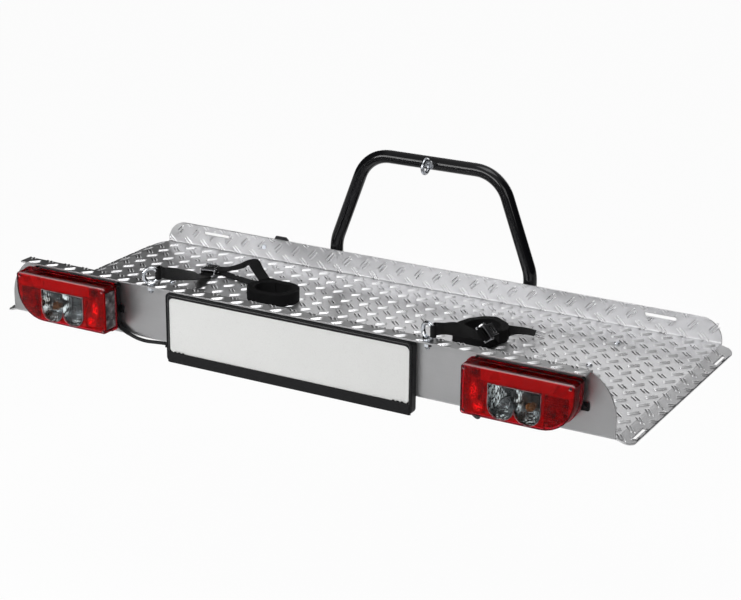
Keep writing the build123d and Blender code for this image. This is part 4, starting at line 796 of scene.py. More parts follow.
# Slots and holes as (middle x, middle s, half length along x, half length along s)
SLOTS = [(0.523, WALL_S + 0.0295, 0.0335, 0.0036), (LIP_X, FLOOR_S + 0.051, 0.0031, 0.027),
         (LIP_X, FLOOR_S + 0.461, 0.0031, 0.027), (LIP_X, FLOOR_S + 0.172, 0.0036, 0.0036),
         (LIP_X, FLOOR_S + 0.387, 0.0036, 0.0036)]


def off_sheet(g):
    """True for a pair of bars that would hang over a rounded corner or an end of the unfolded sheet."""
    x, s, _ = g.position()
    x = abs(x)
    tests = [(s > low) & (s < high) & (x > limit) for low, high, limit in STRETCHES]
    for corner_x, corner_s, way, radius, low in CORNERS:
        far = measured("LENGTH", together(x - corner_x, s - corner_s))
        beyond = s < corner_s if way < 0 else s > corner_s
        tests.append((x > corner_x) & beyond & (far > radius - BAR_REACH) & (s > low))
    return reduce(or_, tests)


def in_slot(g):
    """True inside the slots and holes of the sheet."""
    x, s, _ = g.position()
    return reduce(or_, [(abs(abs(x) - slot_x) < half_x) & (abs(s - slot_s) < half_s)
                        for slot_x, slot_s, half_x, half_s in SLOTS])


def tread_tree():
    """Pairs of raised bars in two crossing families, folded with the sheet."""
    g = Growth("Tread bars", Pitch_X=0.043, Pitch_Y=0.043, Bar_Length=0.022, Bar_Width=0.004,
               Bar_Height=0.001, Bar_Spacing=0.0065, First_X=0.0, First_S=0.0, Wall_Shift=0.0073)

    # One bar: an almond with a round back
    grid = g.add("GeometryNodeMeshGrid", {"Size X": 2.0, "Size Y": 2.0, "Vertices X": 9, "Vertices Y": 5})
    u, v, _ = g.position()
    taper = calc("SUBTRACT", 1.0, u * u, clamp=True) ** 0.34
    back = 1.0 - abs(v) ** 2.0
    shape = together(u * (g["Bar Length"] * 0.5), v * taper * (g["Bar Width"] * 0.5),
                     back * g["Bar Height"] * taper ** 0.5)
    bar = g.add("GeometryNodeSetPosition", {"Geometry": grid, "Position": shape})
    # The crown height is kept for the bars' painted shade down their flanks
    bar = g.add("GeometryNodeStoreNamedAttribute", {"Geometry": bar, "Name": "crown", "Value": back},
                data_type="FLOAT", domain="POINT")
    bar = g.add("GeometryNodeMergeByDistance", {"Geometry": bar, "Distance": 0.00002})
    pair = g.join([g.add("GeometryNodeTransform", {"Geometry": bar, "Translation": together(
        g["Bar Spacing"] * (0.3 * way), g["Bar Spacing"] * way)}) for way in (-0.5, 0.5)])

    # Two lattices, half a pitch apart, turned left and right
    families = []
    for half, angle in ((0.0, 45.0), (0.5, -45.0)):
        points = g.add("GeometryNodeMeshGrid", {"Size X": g["Pitch X"] * 33.0, "Size Y": g["Pitch Y"] * 17.0,
                                                "Vertices X": 34, "Vertices Y": 18})
        corner = together(g["Pitch X"] * (half + 0.5) + g["First X"],
                          g["Pitch Y"] * (half + 8.5) + g["First S"])
        points = g.add("GeometryNodeSetPosition", {"Geometry": points, "Offset": corner})
        on_wall = g.position()[1] > FLOOR_END_S - 0.01
        points = g.add("GeometryNodeSetPosition", {"Geometry": points,
                                                   "Offset": together(0.0, on_wall * g["Wall Shift"])})
        points = g.add("GeometryNodeDeleteGeometry", {"Geometry": points, "Selection": off_sheet(g)},
                       domain="POINT")
        families.append(g.add("GeometryNodeInstanceOnPoints", {
            "Points": points, "Instance": pair, "Rotation": (0, 0, math.radians(angle))}))
    flat = g.add("GeometryNodeRealizeInstances", {0: g.join(families)})

    # Cut at the sheet's edges and at the slots
    flat = g.add("GeometryNodeDeleteGeometry", {"Geometry": flat, "Selection": in_slot(g)}, domain="POINT")
    x, s, height = g.position()
    s = (s | EDGE_GAP) & (SHEET_END_S - EDGE_GAP)
    on_floor = (s > FLOOR_S - 0.002) & (s < WALL_S + 0.001)
    on_eave = s < FOLD_S - 0.004
    reach = on_floor * 0.0303 + (on_eave * -0.047 + (HALF_LENGTH - EDGE_GAP))
    x = (x | reach * -1.0) & reach

    # Fold: the profile gives the place and the direction, and the bar's height goes out along the normal
    profile = g.add("GeometryNodeFilletCurve", {
        "Curve": g["Geometry"], "Radius": g.add("GeometryNodeInputRadius"), "Count": 5, "Limit Radius": True},
        mode="POLY")
    place = g.add("GeometryNodeSampleCurve", {"Curves": profile, "Length": s}, mode="LENGTH",
                  use_all_curves=True)
    outward = vector_calc("CROSS_PRODUCT", (1.0, 0.0, 0.0), place.out("Tangent"))
    raised = vector_calc("ADD", place.out("Position"), vector_calc("SCALE", outward, scale=height))
    over = ((abs(x) - HALF_LENGTH) | 0.0) * on_floor
    inward = over * (math.cos(LIP_SLOPE) - 1) * calc("SIGN", x)
    there = vector_calc("ADD", raised, together(x + inward, 0.0, over * -math.sin(LIP_SLOPE)))
    return g.finish(g.add("GeometryNodeSetPosition", {"Geometry": flat, "Position": there}))


# Lamps: u runs outwards from a lamp's inner edge, v upwards from its bottom, both in millimetres
LAMP_INNER = 380.0
LAMP_WIDTH = 218.0
LAMP_HEIGHT = 96.5
LAMP_BOTTOM = 112.5
BIG_CORNER = 64
LENS_FRONT = -0.746
LENS_BACK = -0.708
SHEET_Y = -0.7418
PAST_FRONT = -0.747
WINDOW_DEPTH = -0.7425
SIDE_FRONT = -0.742
SIDE_BACK = -0.712
SIDE_WINDOW = (10, 84)
SCREW_SPOTS = [(8, 88), (8, 8), (208, 88)]
POST_RADIUS = 5
HOLE_RADIUS = 3.6
RIB_FIELD = (9.0, 50.0, 10, 94)
PILLOW_FIELD = (160, 208, 5, 71)
REFLEX = [(40, 71), (174, 71), (184, 92), (40, 92)]
BULBS = [(27, 40, "bulb_clear"), (80, 34, "bulb_clear"), (130, 34, "bulb_orange")]
LOBES = (80, 130)
LOBE_RADIUS = 25
LOBE_V = 29.5
WINDOW_TOP = 68
BOWL_RADIUS = 24.6
BOWL_TURN = math.pi / 2 * 0.82
BOWL_RIM = -0.7428
BOWL_DEPTH = 0.026
BOWL_TOP = 66
LENS_INSIDE = [(-0.7432, 6.4), (-0.7405, 4.2), (-0.722, 3.8), (-0.719, 2.6), (LENS_BACK, 2.5)]
LENS_OUTSIDE = [(LENS_BACK, 0), (-0.7192, 0), (-0.7203, 0.3), (-0.7211, 1.4), (-0.7425, 1.7), (-0.7441, 2.0),
                (-0.7453, 2.9), (LENS_FRONT, 4.6)]
LINER = [(-0.7405, 4.4), (-0.7225, 4.2), (-0.7195, 3.2), (-0.7085, 3.1), (-0.7085, 3.9), (-0.7190, 4.0),
         (-0.7220, 5.0), (-0.7405, 5.7)]
WINDOW_PANE = [(-0.7434, -0.15), (-0.7456, -0.15), (-0.7459, -0.5)]
WINDOW_WELD = [(-0.7455, 0.7), (-0.7462, 0.5), (-0.7462, -0.2), (-0.7455, -0.3)]
BULB_PROFILE = [(-0.7202, 6.0), (-0.7225, 5.4), (-0.7255, 6.6), (-0.7290, 8.2), (-0.7325, 8.4),
                (-0.7360, 6.6), (-0.7380, 3.6), (-0.7388, 1.0)]


def lamp_point(side, u, v, y):
    """A lamp's place in metres."""
    return Vector((side * (LAMP_INNER + u) / 1000, y, (LAMP_BOTTOM + v) / 1000))


def lamp_stack(side, outline, levels):
    """An outline's rings at levels of (depth, what the outline takes)."""
    return [[lamp_point(side, u, v, y) for u, v in outline(size)] for y, size in levels]


def arc(u, v, radius, first, last, steps):
    """Points of an arc between two angles."""
    turns = [first + (last - first) * k / steps for k in range(steps + 1)]
    return [Vector((u + radius * math.cos(turn), v + radius * math.sin(turn))) for turn in turns]


def circle(u, v, radius):
    """A closed circle."""
    return arc(u, v, radius, 0, 2 * math.pi, 16)[:-1]


def rectangle(low_u, low_v, high_u, high_v):
    """Its four corners."""
    return [(low_u, low_v), (low_u, high_v), (high_u, high_v), (high_u, low_v)]


def rounded(corners, steps=8):
    """A closed outline through corners of (u, v, radius), each rounded in some steps."""
    outline = []
    for i, (u, v, radius) in enumerate(corners):
        here = Vector((u, v))
        back = (Vector(corners[i - 1][:2]) - here).normalized()
        ahead = (Vector(corners[(i + 1) % len(corners)][:2]) - here).normalized()
        half = back.angle(ahead) / 2
        centre = here + (back + ahead).normalized() * radius / math.sin(half)
        first = here + back * radius / math.tan(half) - centre
        last = here + ahead * radius / math.tan(half) - centre
        sweep = math.pi - 2 * half
        for k in range(steps + 1):
            share = 0.5 + math.tan((k / steps - 0.5) * sweep) / math.tan(sweep / 2) / 2
            outline.append(centre + first.lerp(last, share).normalized() * radius)
    return outline


def lamp_outline(inset):
    """A lamp's outline, drawn in by an inset; the lower outer corner is the big one."""
    small = max(8 - inset, 1.5)
    right, high = LAMP_WIDTH - inset, LAMP_HEIGHT - inset
    return rounded([(inset, inset, small), (right, inset, BIG_CORNER - inset), (right, high, small),
                    (inset, high, small)])


def window_outline(grow=0.0):
    """The outline of the clear window: a flat top and two round lobes."""
    left, right, top = LOBES[0] - LOBE_RADIUS - grow, LOBES[1] + LOBE_RADIUS + grow, WINDOW_TOP + grow
    first, second = (arc(lobe, LOBE_V, LOBE_RADIUS + grow, math.pi, 2 * math.pi, 10) for lobe in LOBES)
    return [Vector((left, top)), Vector((left, LOBE_V)), *first, *second[1:], Vector((right, top))]


def prism(name, outline, side, near, far):
    """A closed prism of a lamp outline between two depths."""
    return lofted(name, [[lamp_point(side, u, v, y) for u, v in outline] for y in (near, far)])


def lens_shell(name, side):
    """The red lens: a stepped shell with soft edges, screw posts and openings for the clear windows."""
    shell = lofted(name, lamp_stack(side, lamp_outline, LENS_INSIDE + LENS_OUTSIDE))
    low, high = SIDE_WINDOW
    posts = [prism("post", circle(u, v, POST_RADIUS), side, -0.7445, LENS_BACK) for u, v in SCREW_SPOTS]
    tools = [prism("hole", circle(u, v, HOLE_RADIUS), side, PAST_FRONT, -0.740) for u, v in SCREW_SPOTS]
    tools.append(prism("window", window_outline(), side, PAST_FRONT, WINDOW_DEPTH))
    tools.append(prism("side_window", rectangle(-2, low, 8, high), side, SIDE_FRONT, SIDE_BACK))
    return cut(shell, tools, posts)


def flute_tree():
    """Upright half-round ribs, one on each run of the carrier and nearly as wide as the pitch."""
    g = Growth("Lens ribs", Pitch=0.003, Rise=0.001)
    section = g.add("GeometryNodeCurveArc", {
        "Resolution": 6, "Start Angle": math.pi, "Sweep Angle": math.pi, "Radius": g["Pitch"] * 0.5 * 0.9})
    flat = g["Rise"] / (g["Pitch"] * 0.5)
    shape = g.add("GeometryNodeTransform", {"Geometry": section, "Scale": together(1.0, flat, 1.0)})
    upright = g.add("GeometryNodeSetCurveNormal", {0: g["Geometry"]}, mode="Z_UP")
    return g.finish(g.add("GeometryNodeCurveToMesh", {0: upright, 1: shape}))


def pillow_tree():
    """Small pillows on every point of a carrier, facing the front."""
    g = Growth("Lens pillows", Pitch=0.0045, Rise=0.0008)
    grid = g.add("GeometryNodeMeshGrid", {"Size X": 2.0, "Size Y": 2.0, "Vertices X": 4, "Vertices Y": 4})
    u, v, _ = g.position()
    half = g["Pitch"] * 0.47
    crown = (1.0 - u * u) * (1.0 - v * v)
    shape = together(u * half, crown * g["Rise"] * -1.0, v * half)
    pillow = g.add("GeometryNodeSetPosition", {"Geometry": grid, "Position": shape})
    return g.finish(g.add("GeometryNodeInstanceOnPoints", {"Points": g["Geometry"], "Instance": pillow}))


def rib_lines(side, pitch):
    """Upright runs for the ribs over the stop chamber."""
    step = pitch * 1000
    left, right, low, high = RIB_FIELD
    runs = [[lamp_point(side, left + k * step, v, SHEET_Y) for v in (low, high)]
            for k in range(int((right - left) / step) + 1)]
    return line_carrier("rib_lines", runs)


def pillow_points(side, pitch):
    """Points for the pillows between the windows and the big corner."""
    step = pitch * 1000
    left, right, low, high = PILLOW_FIELD
    spots = []
    for column in range(int((right - left) / step)):
        for row in range(int((high - low) / step)):
            u, v = left + step * (column + 0.5), low + step * (row + 0.5)
            far = math.hypot(u - (LAMP_WIDTH - BIG_CORNER), v - BIG_CORNER)
            if v > BIG_CORNER or far < BIG_CORNER - 6:
                spots.append(lamp_point(side, u, v, SHEET_Y))
    mesh = bpy.data.meshes.new("pillow_points")
    mesh.from_pydata(spots, [], [])
    return mesh


def lamp_bowls(name, side):
    """Two bright bowls behind the window lobes, each drawn in towards its bulb."""
    stacks = []
    for lobe in LOBES:
        left, right, heart = lobe - BOWL_RADIUS, lobe + BOWL_RADIUS, Vector((lobe, 36))
        rim = [Vector((left, BOWL_TOP)), Vector((left, 48)),
               *arc(lobe, LOBE_V, BOWL_RADIUS, math.pi, 2 * math.pi, 12),
               Vector((right, 48)), Vector((right, BOWL_TOP)), Vector((lobe, BOWL_TOP))]
        stacks.append([])
        for turn in (k / 6 * BOWL_TURN for k in range(7)):
            depth = BOWL_RIM + BOWL_DEPTH * math.sin(turn) / math.sin(BOWL_TURN)
            stacks[-1].append([lamp_point(side, *(heart + (p - heart) * math.cos(turn)), depth) for p in rim])
    return lofted(name, *stacks, ends="open")


def lamp_place(f):
    """A finish's place on a lamp: u, v in metres."""
    x, _, z = apart(f.place)
    return abs(x) - LAMP_INNER / 1000, z - LAMP_BOTTOM / 1000


def lamp_finishes(colours):
    """Builds the clear, red and bright finishes of the lamps."""
    # Red lens, coated along its polished upper edges, with a painted highlight glowing pale along the upper front edge
    f = Finish("lens_red", transmission_weight=1.0, ior=1.2, roughness=0.02)
    height, cloud = f.grain(0.003, 0.05)
    f.set("Base Color", blend(cloud, colours.lens, (0.88, 0.02, 0.045)))
    depth = apart(f.place)[1]
    upward = remap(apart(normal(f.tree))[2], 0.25, 0.6)
    front_edge = (remap(depth, LENS_FRONT + 0.0001, LENS_FRONT + 0.0006)
                  * remap(depth, LENS_FRONT + 0.0040, LENS_FRONT + 0.0030))
    step_edge = remap(depth, -0.7216, -0.7210) * remap(depth, -0.7188, -0.7194)
    f.set("Coat Weight", (front_edge | step_edge) * upward)
    # painted highlight: a pale glow along the upper front edge
    f.glow(front_edge * upward, (0.8, 0.6, 0.62), 0.28)
    f.bump(height, 0.00002)

    # Clear fluted window
    f = Finish("lens_clear", transmission_weight=1.0, ior=1.2, roughness=0.0)
    wave = abs(calc("SINE", apart(f.place)[0] * (math.pi / 0.0036)))
    height, cloud = f.grain(0.0028, 0.02)
    f.set("Base Color", blend(cloud, (0.90, 0.93, 0.93), (0.70, 0.74, 0.75)))
    f.bump(height * 0.4 + wave, 0.00025)

    # Red plastic behind the lens: the plain sheet, then a darker copy of it as painted shade for the corner optics and
    # side walls inside the housing
    for name, light, dark in (("inner_red", (0.50, 0.004, 0.02), (0.27, 0.002, 0.008)),
                              ("inner_dark", (0.20, 0.002, 0.008), (0.03, 0.001, 0.002))):
        surface(name, (0.0035, 0.012), (0.12, 0.25), [light, dark], 0.0004, (0.35, 0.65),
                coat_weight=0.25, coat_roughness=0.05)

    # Ribs over the stop chamber: two warm spots of painted reflection, which also glow, and a base colour darker in
    # one upper corner
    f = Finish("rib_red", coat_weight=0.25, coat_roughness=0.05)
    u, v = lamp_place(f)

    def patch(middle_u, middle_v, half_u, half_v):
        """A round patch that fades out at its rim."""
        far = measured("LENGTH", together((u - middle_u) / half_u, (v - middle_v) / half_v))
        return remap(far, 1.0, 0.35)

    height, cloud = f.grain(0.0035, 0.0034)
    # painted reflections: two warm spots, as if the bowl's light came through, that also glow
    painted_glints = patch(0.027, 0.047, 0.010, 0.022) | patch(0.036, 0.021, 0.013, 0.013)
    painted_glints *= remap(cloud, 0.42, 0.56, 0.08, 1.0)
    plain = blend(remap(cloud, 0.4, 0.6), (0.36, 0.005, 0.018), (0.14, 0.002, 0.006))
    plain = blend(patch(0.028, 0.083, 0.014, 0.012), plain, (0.05, 0.001, 0.002))
    f.set("Base Color", blend(painted_glints, plain, (1.0, 0.45, 0.3)))
    f.glow(painted_glints, (1.0, 0.25, 0.12), 0.45)
    f.rough(cloud, 0.12, 0.25)
    f.bump(height, 0.0004)

    # Reflex field: tiny cube corners
    f = Finish("reflex_red", metallic=0.3)
    cells = f.cells(420.0)
    _, cloud = f.grain(0.01, 0.03)
    f.set("Base Color", blend(cells, (0.62, 0.005, 0.025), (0.32, 0.0, 0.01)))
    f.rough(cloud, 0.25, 0.4)
    f.bump(cells, 0.0003)

    # Bright bowls: painted highlights that also glow, in upright streaks beside the bulbs and in specks at each bowl's
    # foot, over metal painted in dark and pale streaks of painted reflection
    f = Finish("mirror", metallic=1.0)
    height, cloud = f.grain(0.006, 0.02)
    x, y, z = apart(f.place)
    u, v = lamp_place(f)
    streaks = noise(together(x * 720.0, y * 60.0, z * 110.0), 1.0, 3.0)

    def upright(middle, half):
        """An upright band that fades out at its sides."""
        return remap(abs(u - middle), half, half * 0.3)

    zone = (upright(0.064, 0.010) | upright(0.106, 0.007) | upright(0.152, 0.004)) * remap(v, 0.018, 0.030)
    specks = (remap(f.cells(260.0), 0.42, 0.25) * remap(v, 0.017, 0.013)
              * (upright(0.080, 0.014) | upright(0.132, 0.014)))
    # painted highlights in streaks and specks
    painted_glint = remap(streaks, 0.49, 0.58) * zone | specks
    # painted reflection: the metal's base colour runs from dark to pale along the streaks
    metal = blend(remap(streaks, 0.40, 0.62), (0.035, 0.037, 0.04), (0.34, 0.35, 0.36))
    f.set("Base Color", blend(painted_glint, metal, (0.95, 0.97, 0.97)))
    f.glow(painted_glint, (0.85, 0.9, 0.9), 0.8)
    f.rough(cloud, 0.08, 0.2)
    f.bump(height * 0.6 + streaks, 0.0006)

    # Bulbs, and the frosted weld round the clear windows
    surface("bulb_orange", (0.004, 0.01), (0.05, 0.15), [(0.34, 0.09, 0.005), (0.42, 0.14, 0.012)],
            transmission_weight=0.6, ior=1.3)
    surface("bulb_clear", (0.004, 0.01), (0.02, 0.08), [(0.42, 0.42, 0.42), (0.3, 0.31, 0.33)],
            transmission_weight=0.9, ior=1.3)
    surface("window_weld", (0.001, 0.006), (0.35, 0.5), [(0.10, 0.03, 0.035), (0.34, 0.22, 0.23)],
            clouds=(0.4, 0.6), specular_ior_level=0.3)

    # The side pane's prisms, pale and half clear; their bands are painted dark and pale in the base colour as painted
    # shade and light, and also give the bump
    f = Finish("side_frost", transmission_weight=0.35, ior=1.3)
    _, y, z = apart(f.place)
    bands = calc("PINGPONG", (abs(z - (LAMP_BOTTOM / 1000 + 0.047)) + y) / 0.016, 1.0)
    _, cloud = f.grain(0.003, 0.012)
    shade = remap(cloud, 0.35, 0.65) * remap(bands, 0.2, 0.8, 0.35, 1.0)
    # painted shade and light on the prism facets, along the bands
    f.set("Base Color", blend(shade, (0.07, 0.055, 0.058), (0.52, 0.47, 0.48)))
    f.rough(cloud, 0.12, 0.3)
    f.bump(bands, 0.0006)


class CARGO_OT_lamps(bpy.types.Operator):
    """Build both tail lamps: stepped red lens, clear windows, optics, bowls and bulbs"""

    bl_idname = "cargo.lamps"
    bl_label = "Tail lamps"

    def execute(self, context):
        sizes = context.scene.cargo_sizes
        lamp_finishes(context.scene.cargo_colours)
        ribs, pillows = flute_tree(), pillow_tree()
        for lamp, side in (("left_lamp", -1), ("right_lamp", 1)):
            show(lens_shell(lamp + "_shell", side), "lens_red", "lens_red", lamp + "_lens")

            # The front window, the frosted pane in the inner side wall and the weld round the front window
            panes = lofted(lamp + "_panes", lamp_stack(side, window_outline, WINDOW_PANE))
            show(panes, "lens_clear", "lens_clear", lamp + "_windows")
            low, high = SIDE_WINDOW
            pane = rectangle(low + 0.2, SHEET_Y, high - 0.2, SIDE_BACK - 0.0002)
            pane = lofted(lamp + "_side_pane",
                          [[lamp_point(side, u, *place) for place in pane] for u in (1.5, 3.6)])
            show(pane, "side_frost", "lens_clear", lamp + "_windows")
            weld = lofted(lamp + "_window_weld", lamp_stack(side, window_outline, WINDOW_WELD), ends="joined")
            show(weld, "window_weld", "lens_clear")

            # The red sheet behind the lens and the liner behind its side walls, both open at the windows
            sheet = prism(lamp + "_inner_red", lamp_outline(5.4), side, SHEET_Y, -0.7406)
            sheet = cut(sheet, [prism("window", window_outline(0.4), side, -0.743, -0.739)])
            show(sheet, "inner_red", "lens_red")
            liner = lofted(lamp + "_liner", lamp_stack(side, lamp_outline, LINER), ends="joined")
            liner = cut(liner, [prism("side_window", rectangle(-2, low + 0.5, 9, high - 0.5), side,
                                     SIDE_FRONT - 0.0002, SIDE_BACK + 0.0002)])
            # The liner takes the darker copy of the red plastic, as painted shade
            show(liner, "inner_dark", "lens_red")

            grow(lamp + "_ribs", ribs, rib_lines(side, sizes.rib_pitch), "rib_red", "lens_red",
                 Pitch=sizes.rib_pitch, Rise=0.0012)
            # The pillows take the darker copy of the red plastic, as painted shade
            grow(lamp + "_pillows", pillows, pillow_points(side, sizes.pillow_pitch), "inner_dark",
                 "lens_red", Pitch=sizes.pillow_pitch, Rise=0.0011)
            show(prism(lamp + "_reflex", REFLEX, side, -0.7431, SHEET_Y), "reflex_red", "lens_red")

            show(lamp_bowls(lamp + "_bowls", side), "mirror", "reflector")
            dress("mirror", lamp + "_reflector")
            for u, v, glass in BULBS:
                rings = lamp_stack(side, lambda radius: circle(u, v, radius), BULB_PROFILE)
                show(lofted(f"{lamp}_bulb_{u}", rings), glass, "bulb_orange", lamp + "_bulbs")
        return {"FINISHED"}


class CARGO_OT_finishes(bpy.types.Operator):
    """Build every effect and material"""

    bl_idname = "cargo.finishes"
    bl_label = "Finishes"

    def execute(self, context):
        make_effects()
        make_finishes(context.scene.cargo_colours)
        return {"FINISHED"}


# The stage: soft lights as (name, place, target, width, height, power) and the camera's turn in degrees
MIDDLE = (0.0, -0.4, 0.1)
SOFT_LIGHTS = [
    ("soft_top", (0.2, -0.6, 2.8), MIDDLE, 1.8, 1.4, 19),
    ("soft_front", (2.2, -3.4, 1.5), MIDDLE, 1.8, 1.6, 16),
    ("soft_left", (-0.9, -3.0, 1.15), MIDDLE, 2.8, 1.0, 40),
    ("soft_back", (-0.45, 1.5, 0.62), (-0.45, -0.4, 0.1), 1.9, 0.5, 6.5),
    ("strip_low", (-1.45, -2.7, 0.52), (0.0, 0.0, 0.36), 1.1, 0.08, 5.0),
]
FLOOR_Z = -0.42
FLOOR_HALF = 12.0
CAMERA_PLACE = (1.7172, -3.4495, 1.3695)
CAMERA_TURN = (29.2508, 19.199, -0.5277)
CAMERA_LENS = 90.92


class CARGO_OT_stage(bpy.types.Operator):
    """Build the floor, the soft studio light and the camera"""

    bl_idname = "cargo.stage"
    bl_label = "Stage"

    def execute(self, context):
        scene = context.scene

        # A matt floor that looks nearly white
        mesh = bpy.data.meshes.new("floor")
        corners = [(x * FLOOR_HALF, y * FLOOR_HALF, FLOOR_Z)
                   for x, y in ((-1, -1), (1, -1), (1, 1), (-1, 1))]
        mesh.from_pydata(corners, [], [(0, 1, 2, 3)])
        f = Finish("pale_floor", base_color=(0.86, 0.86, 0.86, 1), roughness=0.9)
        ray = add(f.tree, "ShaderNodeLightPath")
        camera_ray = ray.out("Is Camera Ray")
        seen = camera_ray | (ray.out("Is Glossy Ray") | ray.out("Is Transmission Ray"))
        glow = add(f.tree, "ShaderNodeEmission", {"Color": (1, 1, 1, 1), "Strength": 1.0})
        matt = Value(f.tree.nodes["Principled BSDF"].outputs[0])
        mixed = add(f.tree, "ShaderNodeMixShader", {0: camera_ray * 0.84 + seen * 0.12, 1: matt, 2: glow})
        put(f.tree.nodes["Material Output"], 0, mixed)
        mesh.materials.append(finishes["pale_floor"])
        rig.stage(linked("floor", mesh))

        for name, place, target, width, height, power in SOFT_LIGHTS:
            light = bpy.data.lights.new(name, "AREA")
            light.shape = "RECTANGLE"
            light.size = width
            light.size_y = height
            light.energy = power
            lamp = linked(name, light)
            lamp.location = place
            lamp.rotation_euler = (Vector(target) - Vector(place)).to_track_quat("-Z", "Y").to_euler()
            lamp.visible_camera = False

        # White to the camera, and a dim room with a bright ceiling to the metal
        scene.world = bpy.data.worlds.new("studio")
        scene.world.use_nodes = True
        sky = scene.world.node_tree
        across, _, high = apart(add(sky, "ShaderNodeTexCoord").out("Generated"))
        level = remap(high, 0.38, 0.5, 0.1, 0.42) * remap(abs(across), 0.35, 0.65, 1.0, 0.06)
        put(sky.nodes["Background"], "Color", (1, 1, 1, 1))
        put(sky.nodes["Background"], "Strength", add(sky, "ShaderNodeLightPath").out("Is Camera Ray") | level)

        yaw, pitch, roll = (math.radians(angle) for angle in CAMERA_TURN)
        forward = Vector((-math.sin(yaw) * math.cos(pitch), math.cos(yaw) * math.cos(pitch),
                          -math.sin(pitch)))
        right = Vector((math.cos(yaw), math.sin(yaw), 0))
        down = forward.cross(right)
        across = right * math.cos(roll) + down * math.sin(roll)
        below = down * math.cos(roll) - right * math.sin(roll)
        camera = linked("camera", bpy.data.cameras.new("camera"))
        camera.data.lens = CAMERA_LENS
        camera.data.sensor_width = 36.0
        camera.data.clip_end = 100
        turn = Matrix((across, -below, -forward)).transposed().to_4x4()
        camera.matrix_world = Matrix.Translation(CAMERA_PLACE) @ turn
        scene.camera = camera
        scene.view_settings.view_transform = "Standard"
        return {"FINISHED"}


class CARGO_OT_deck(bpy.types.Operator):
    """Dress the folded deck and grow its raised tread bars"""

    bl_idname = "cargo.deck"
    bl_label = "Tread deck"

    def execute(self, context):
        sizes = context.scene.cargo_sizes
        dress("tread_plate", "deck_tray")
        profile = [(-0.030, EAVE_TOP), (0.003, EAVE_TOP), (0.003, DECK_TOP), (DECK_DEPTH, DECK_TOP),
                   (DECK_DEPTH, WALL_TOP)]
        fold = line_carrier("tread_fold", [[(0, FRONT_Y + back, z) for back, z in profile]],
                            [0, EAVE_BEND, SHEET_BEND, SHEET_BEND, 0])
        grow("tread_bars", tread_tree(), fold, "tread_bar", "tread_plate", Pitch_X=sizes.pitch_x,
             Pitch_Y=sizes.pitch_y, Bar_Length=sizes.bar_length, Bar_Width=sizes.bar_width,
             Bar_Height=sizes.bar_height, Bar_Spacing=sizes.bar_spacing, First_X=-0.0142, First_S=0.00794)
        return {"FINISHED"}


class CARGO_OT_carrier(bpy.types.Operator):
    """Dress the carrier frame, the hoop and the fasteners"""

    bl_idname = "cargo.carrier"
    bl_label = "Carrier frame and hoop"

    def execute(self, context):
        smoothed("hoop", "gloss_black", "hoop_gloss")
        smoothed("eye_bolts", "zinc", "zinc")
        dress("powder_black", "front_cross_tube", "rear_cross_tube", "left_rail", "right_rail", "hinge_beam",
              "hoop_sockets", "plug_bracket")
        dress("zinc", "deck_screws", "deck_nuts", "rail_bolts", "rail_nuts", "hoop_screws", "holder_screws",
              "bracket_screw", "tilt_bolt", "coupling_pins", "eye_nuts", "clamp_rod")
        dress("black_plastic", "end_caps", "plate_holder", "plate_strip", "junction_box", "plug", "tilt_knob",
              "cable_clips", "left_lamp_base", "right_lamp_base")
        dress("black_screw", "left_lamp_screws", "right_lamp_screws", "left_lamp_bolts", "right_lamp_bolts")
        dress("cast_metal", "coupling_head", "clamp_jaw", "clamp_lever")
        dress("rubber", "lever_grip")
        dress("chrome", "left_buckle_frame", "right_buckle_frame")
        dress("lever_steel", "left_buckle_cam", "right_buckle_cam")
        return {"FINISHED"}


# Straps: places are across the platform, behind the front plate and above the deck's underside, in mm
RING_WIRE = 0.004
RING_RADIUS = 0.014
RING_X = 0.298
RING_FRONT = 0.017
RING_Z = 0.239
BUCKLE_BAR = 0.002
WEB_GAP = 0.0004
LEFT_ROLL = 0.046
RIGHT_ROLL = 0.0525
FRAY_RADIUS = 0.00022
WEB = 0.025
ROLL_Z = DECK_TOP + 0.0005 + WEB / 2


def spot(x, back, up):
    """A place in metres."""
    return Vector((x / 1000, FRONT_Y + back / 1000, DECK_Z + up / 1000))


def roll_spot(x, back):
    """A place halfway up a roll that stands on the deck."""
    return Vector((*spot(x, back, 0)[:2], ROLL_Z))


def leaned(place, degrees, travel, width=WEB):
    """A station of a strap that stands upright on its edge, leaned over about its travel."""
    travel = Vector(travel).normalized()
    upright = (UP - travel * travel.z).normalized()
    lean = math.radians(degrees)
    return spot(*place), upright * math.cos(lean) + upright.cross(travel) * math.sin(lean), width


def smooth_stations(stations, parts=8):
    """Fills in a smooth curve between stations of (place, width direction, width)."""
    last = len(stations) - 1
    rows = [[*place, *across, width] for place, across, width in stations]

    def gap(i, j):
        return max((Vector(rows[i][:3]) - Vector(rows[j][:3])).length, 1e-6) if i != j else 0

    def slope(i):
        before, after = max(i - 1, 0), min(i + 1, last)
        far = gap(before, i) + gap(i, after)
        return [(b - a) / far for a, b in zip(rows[before], rows[after])]

    filled = []
    for i in range(last):
        run, start, end = gap(i, i + 1), slope(i), slope(i + 1)
        for t in (k / parts for k in range(parts)):
            shares = (2 * t**3 - 3 * t**2 + 1, (t**3 - 2 * t**2 + t) * run, 3 * t**2 - 2 * t**3,
                      (t**3 - t**2) * run)
            filled.append([sum(w * v for w, v in zip(shares, values))
                           for values in zip(rows[i], start, rows[i + 1], end)])
    filled.append(rows[-1])
    return [(Vector(row[:3]), Vector(row[3:6]), row[6]) for row in filled]


def strap_frames(stations, closed=False):
    """Works out each station's place, width direction, normal, width and distance along."""
    count = len(stations)
    frames = []
    far = 0.0
    for i, (place, across, width) in enumerate(stations):
        before = stations[i - 1] if closed or i else stations[0]
        after = stations[(i + 1) % count] if closed else stations[min(i + 1, count - 1)]
        travel = (after[0] - before[0]).normalized()
        level = (across - travel * across.dot(travel)).normalized()
        far += (place - stations[i - 1][0]).length if i else 0.0
        frames.append((place, level, travel.cross(level).normalized(), width, far))
    return frames


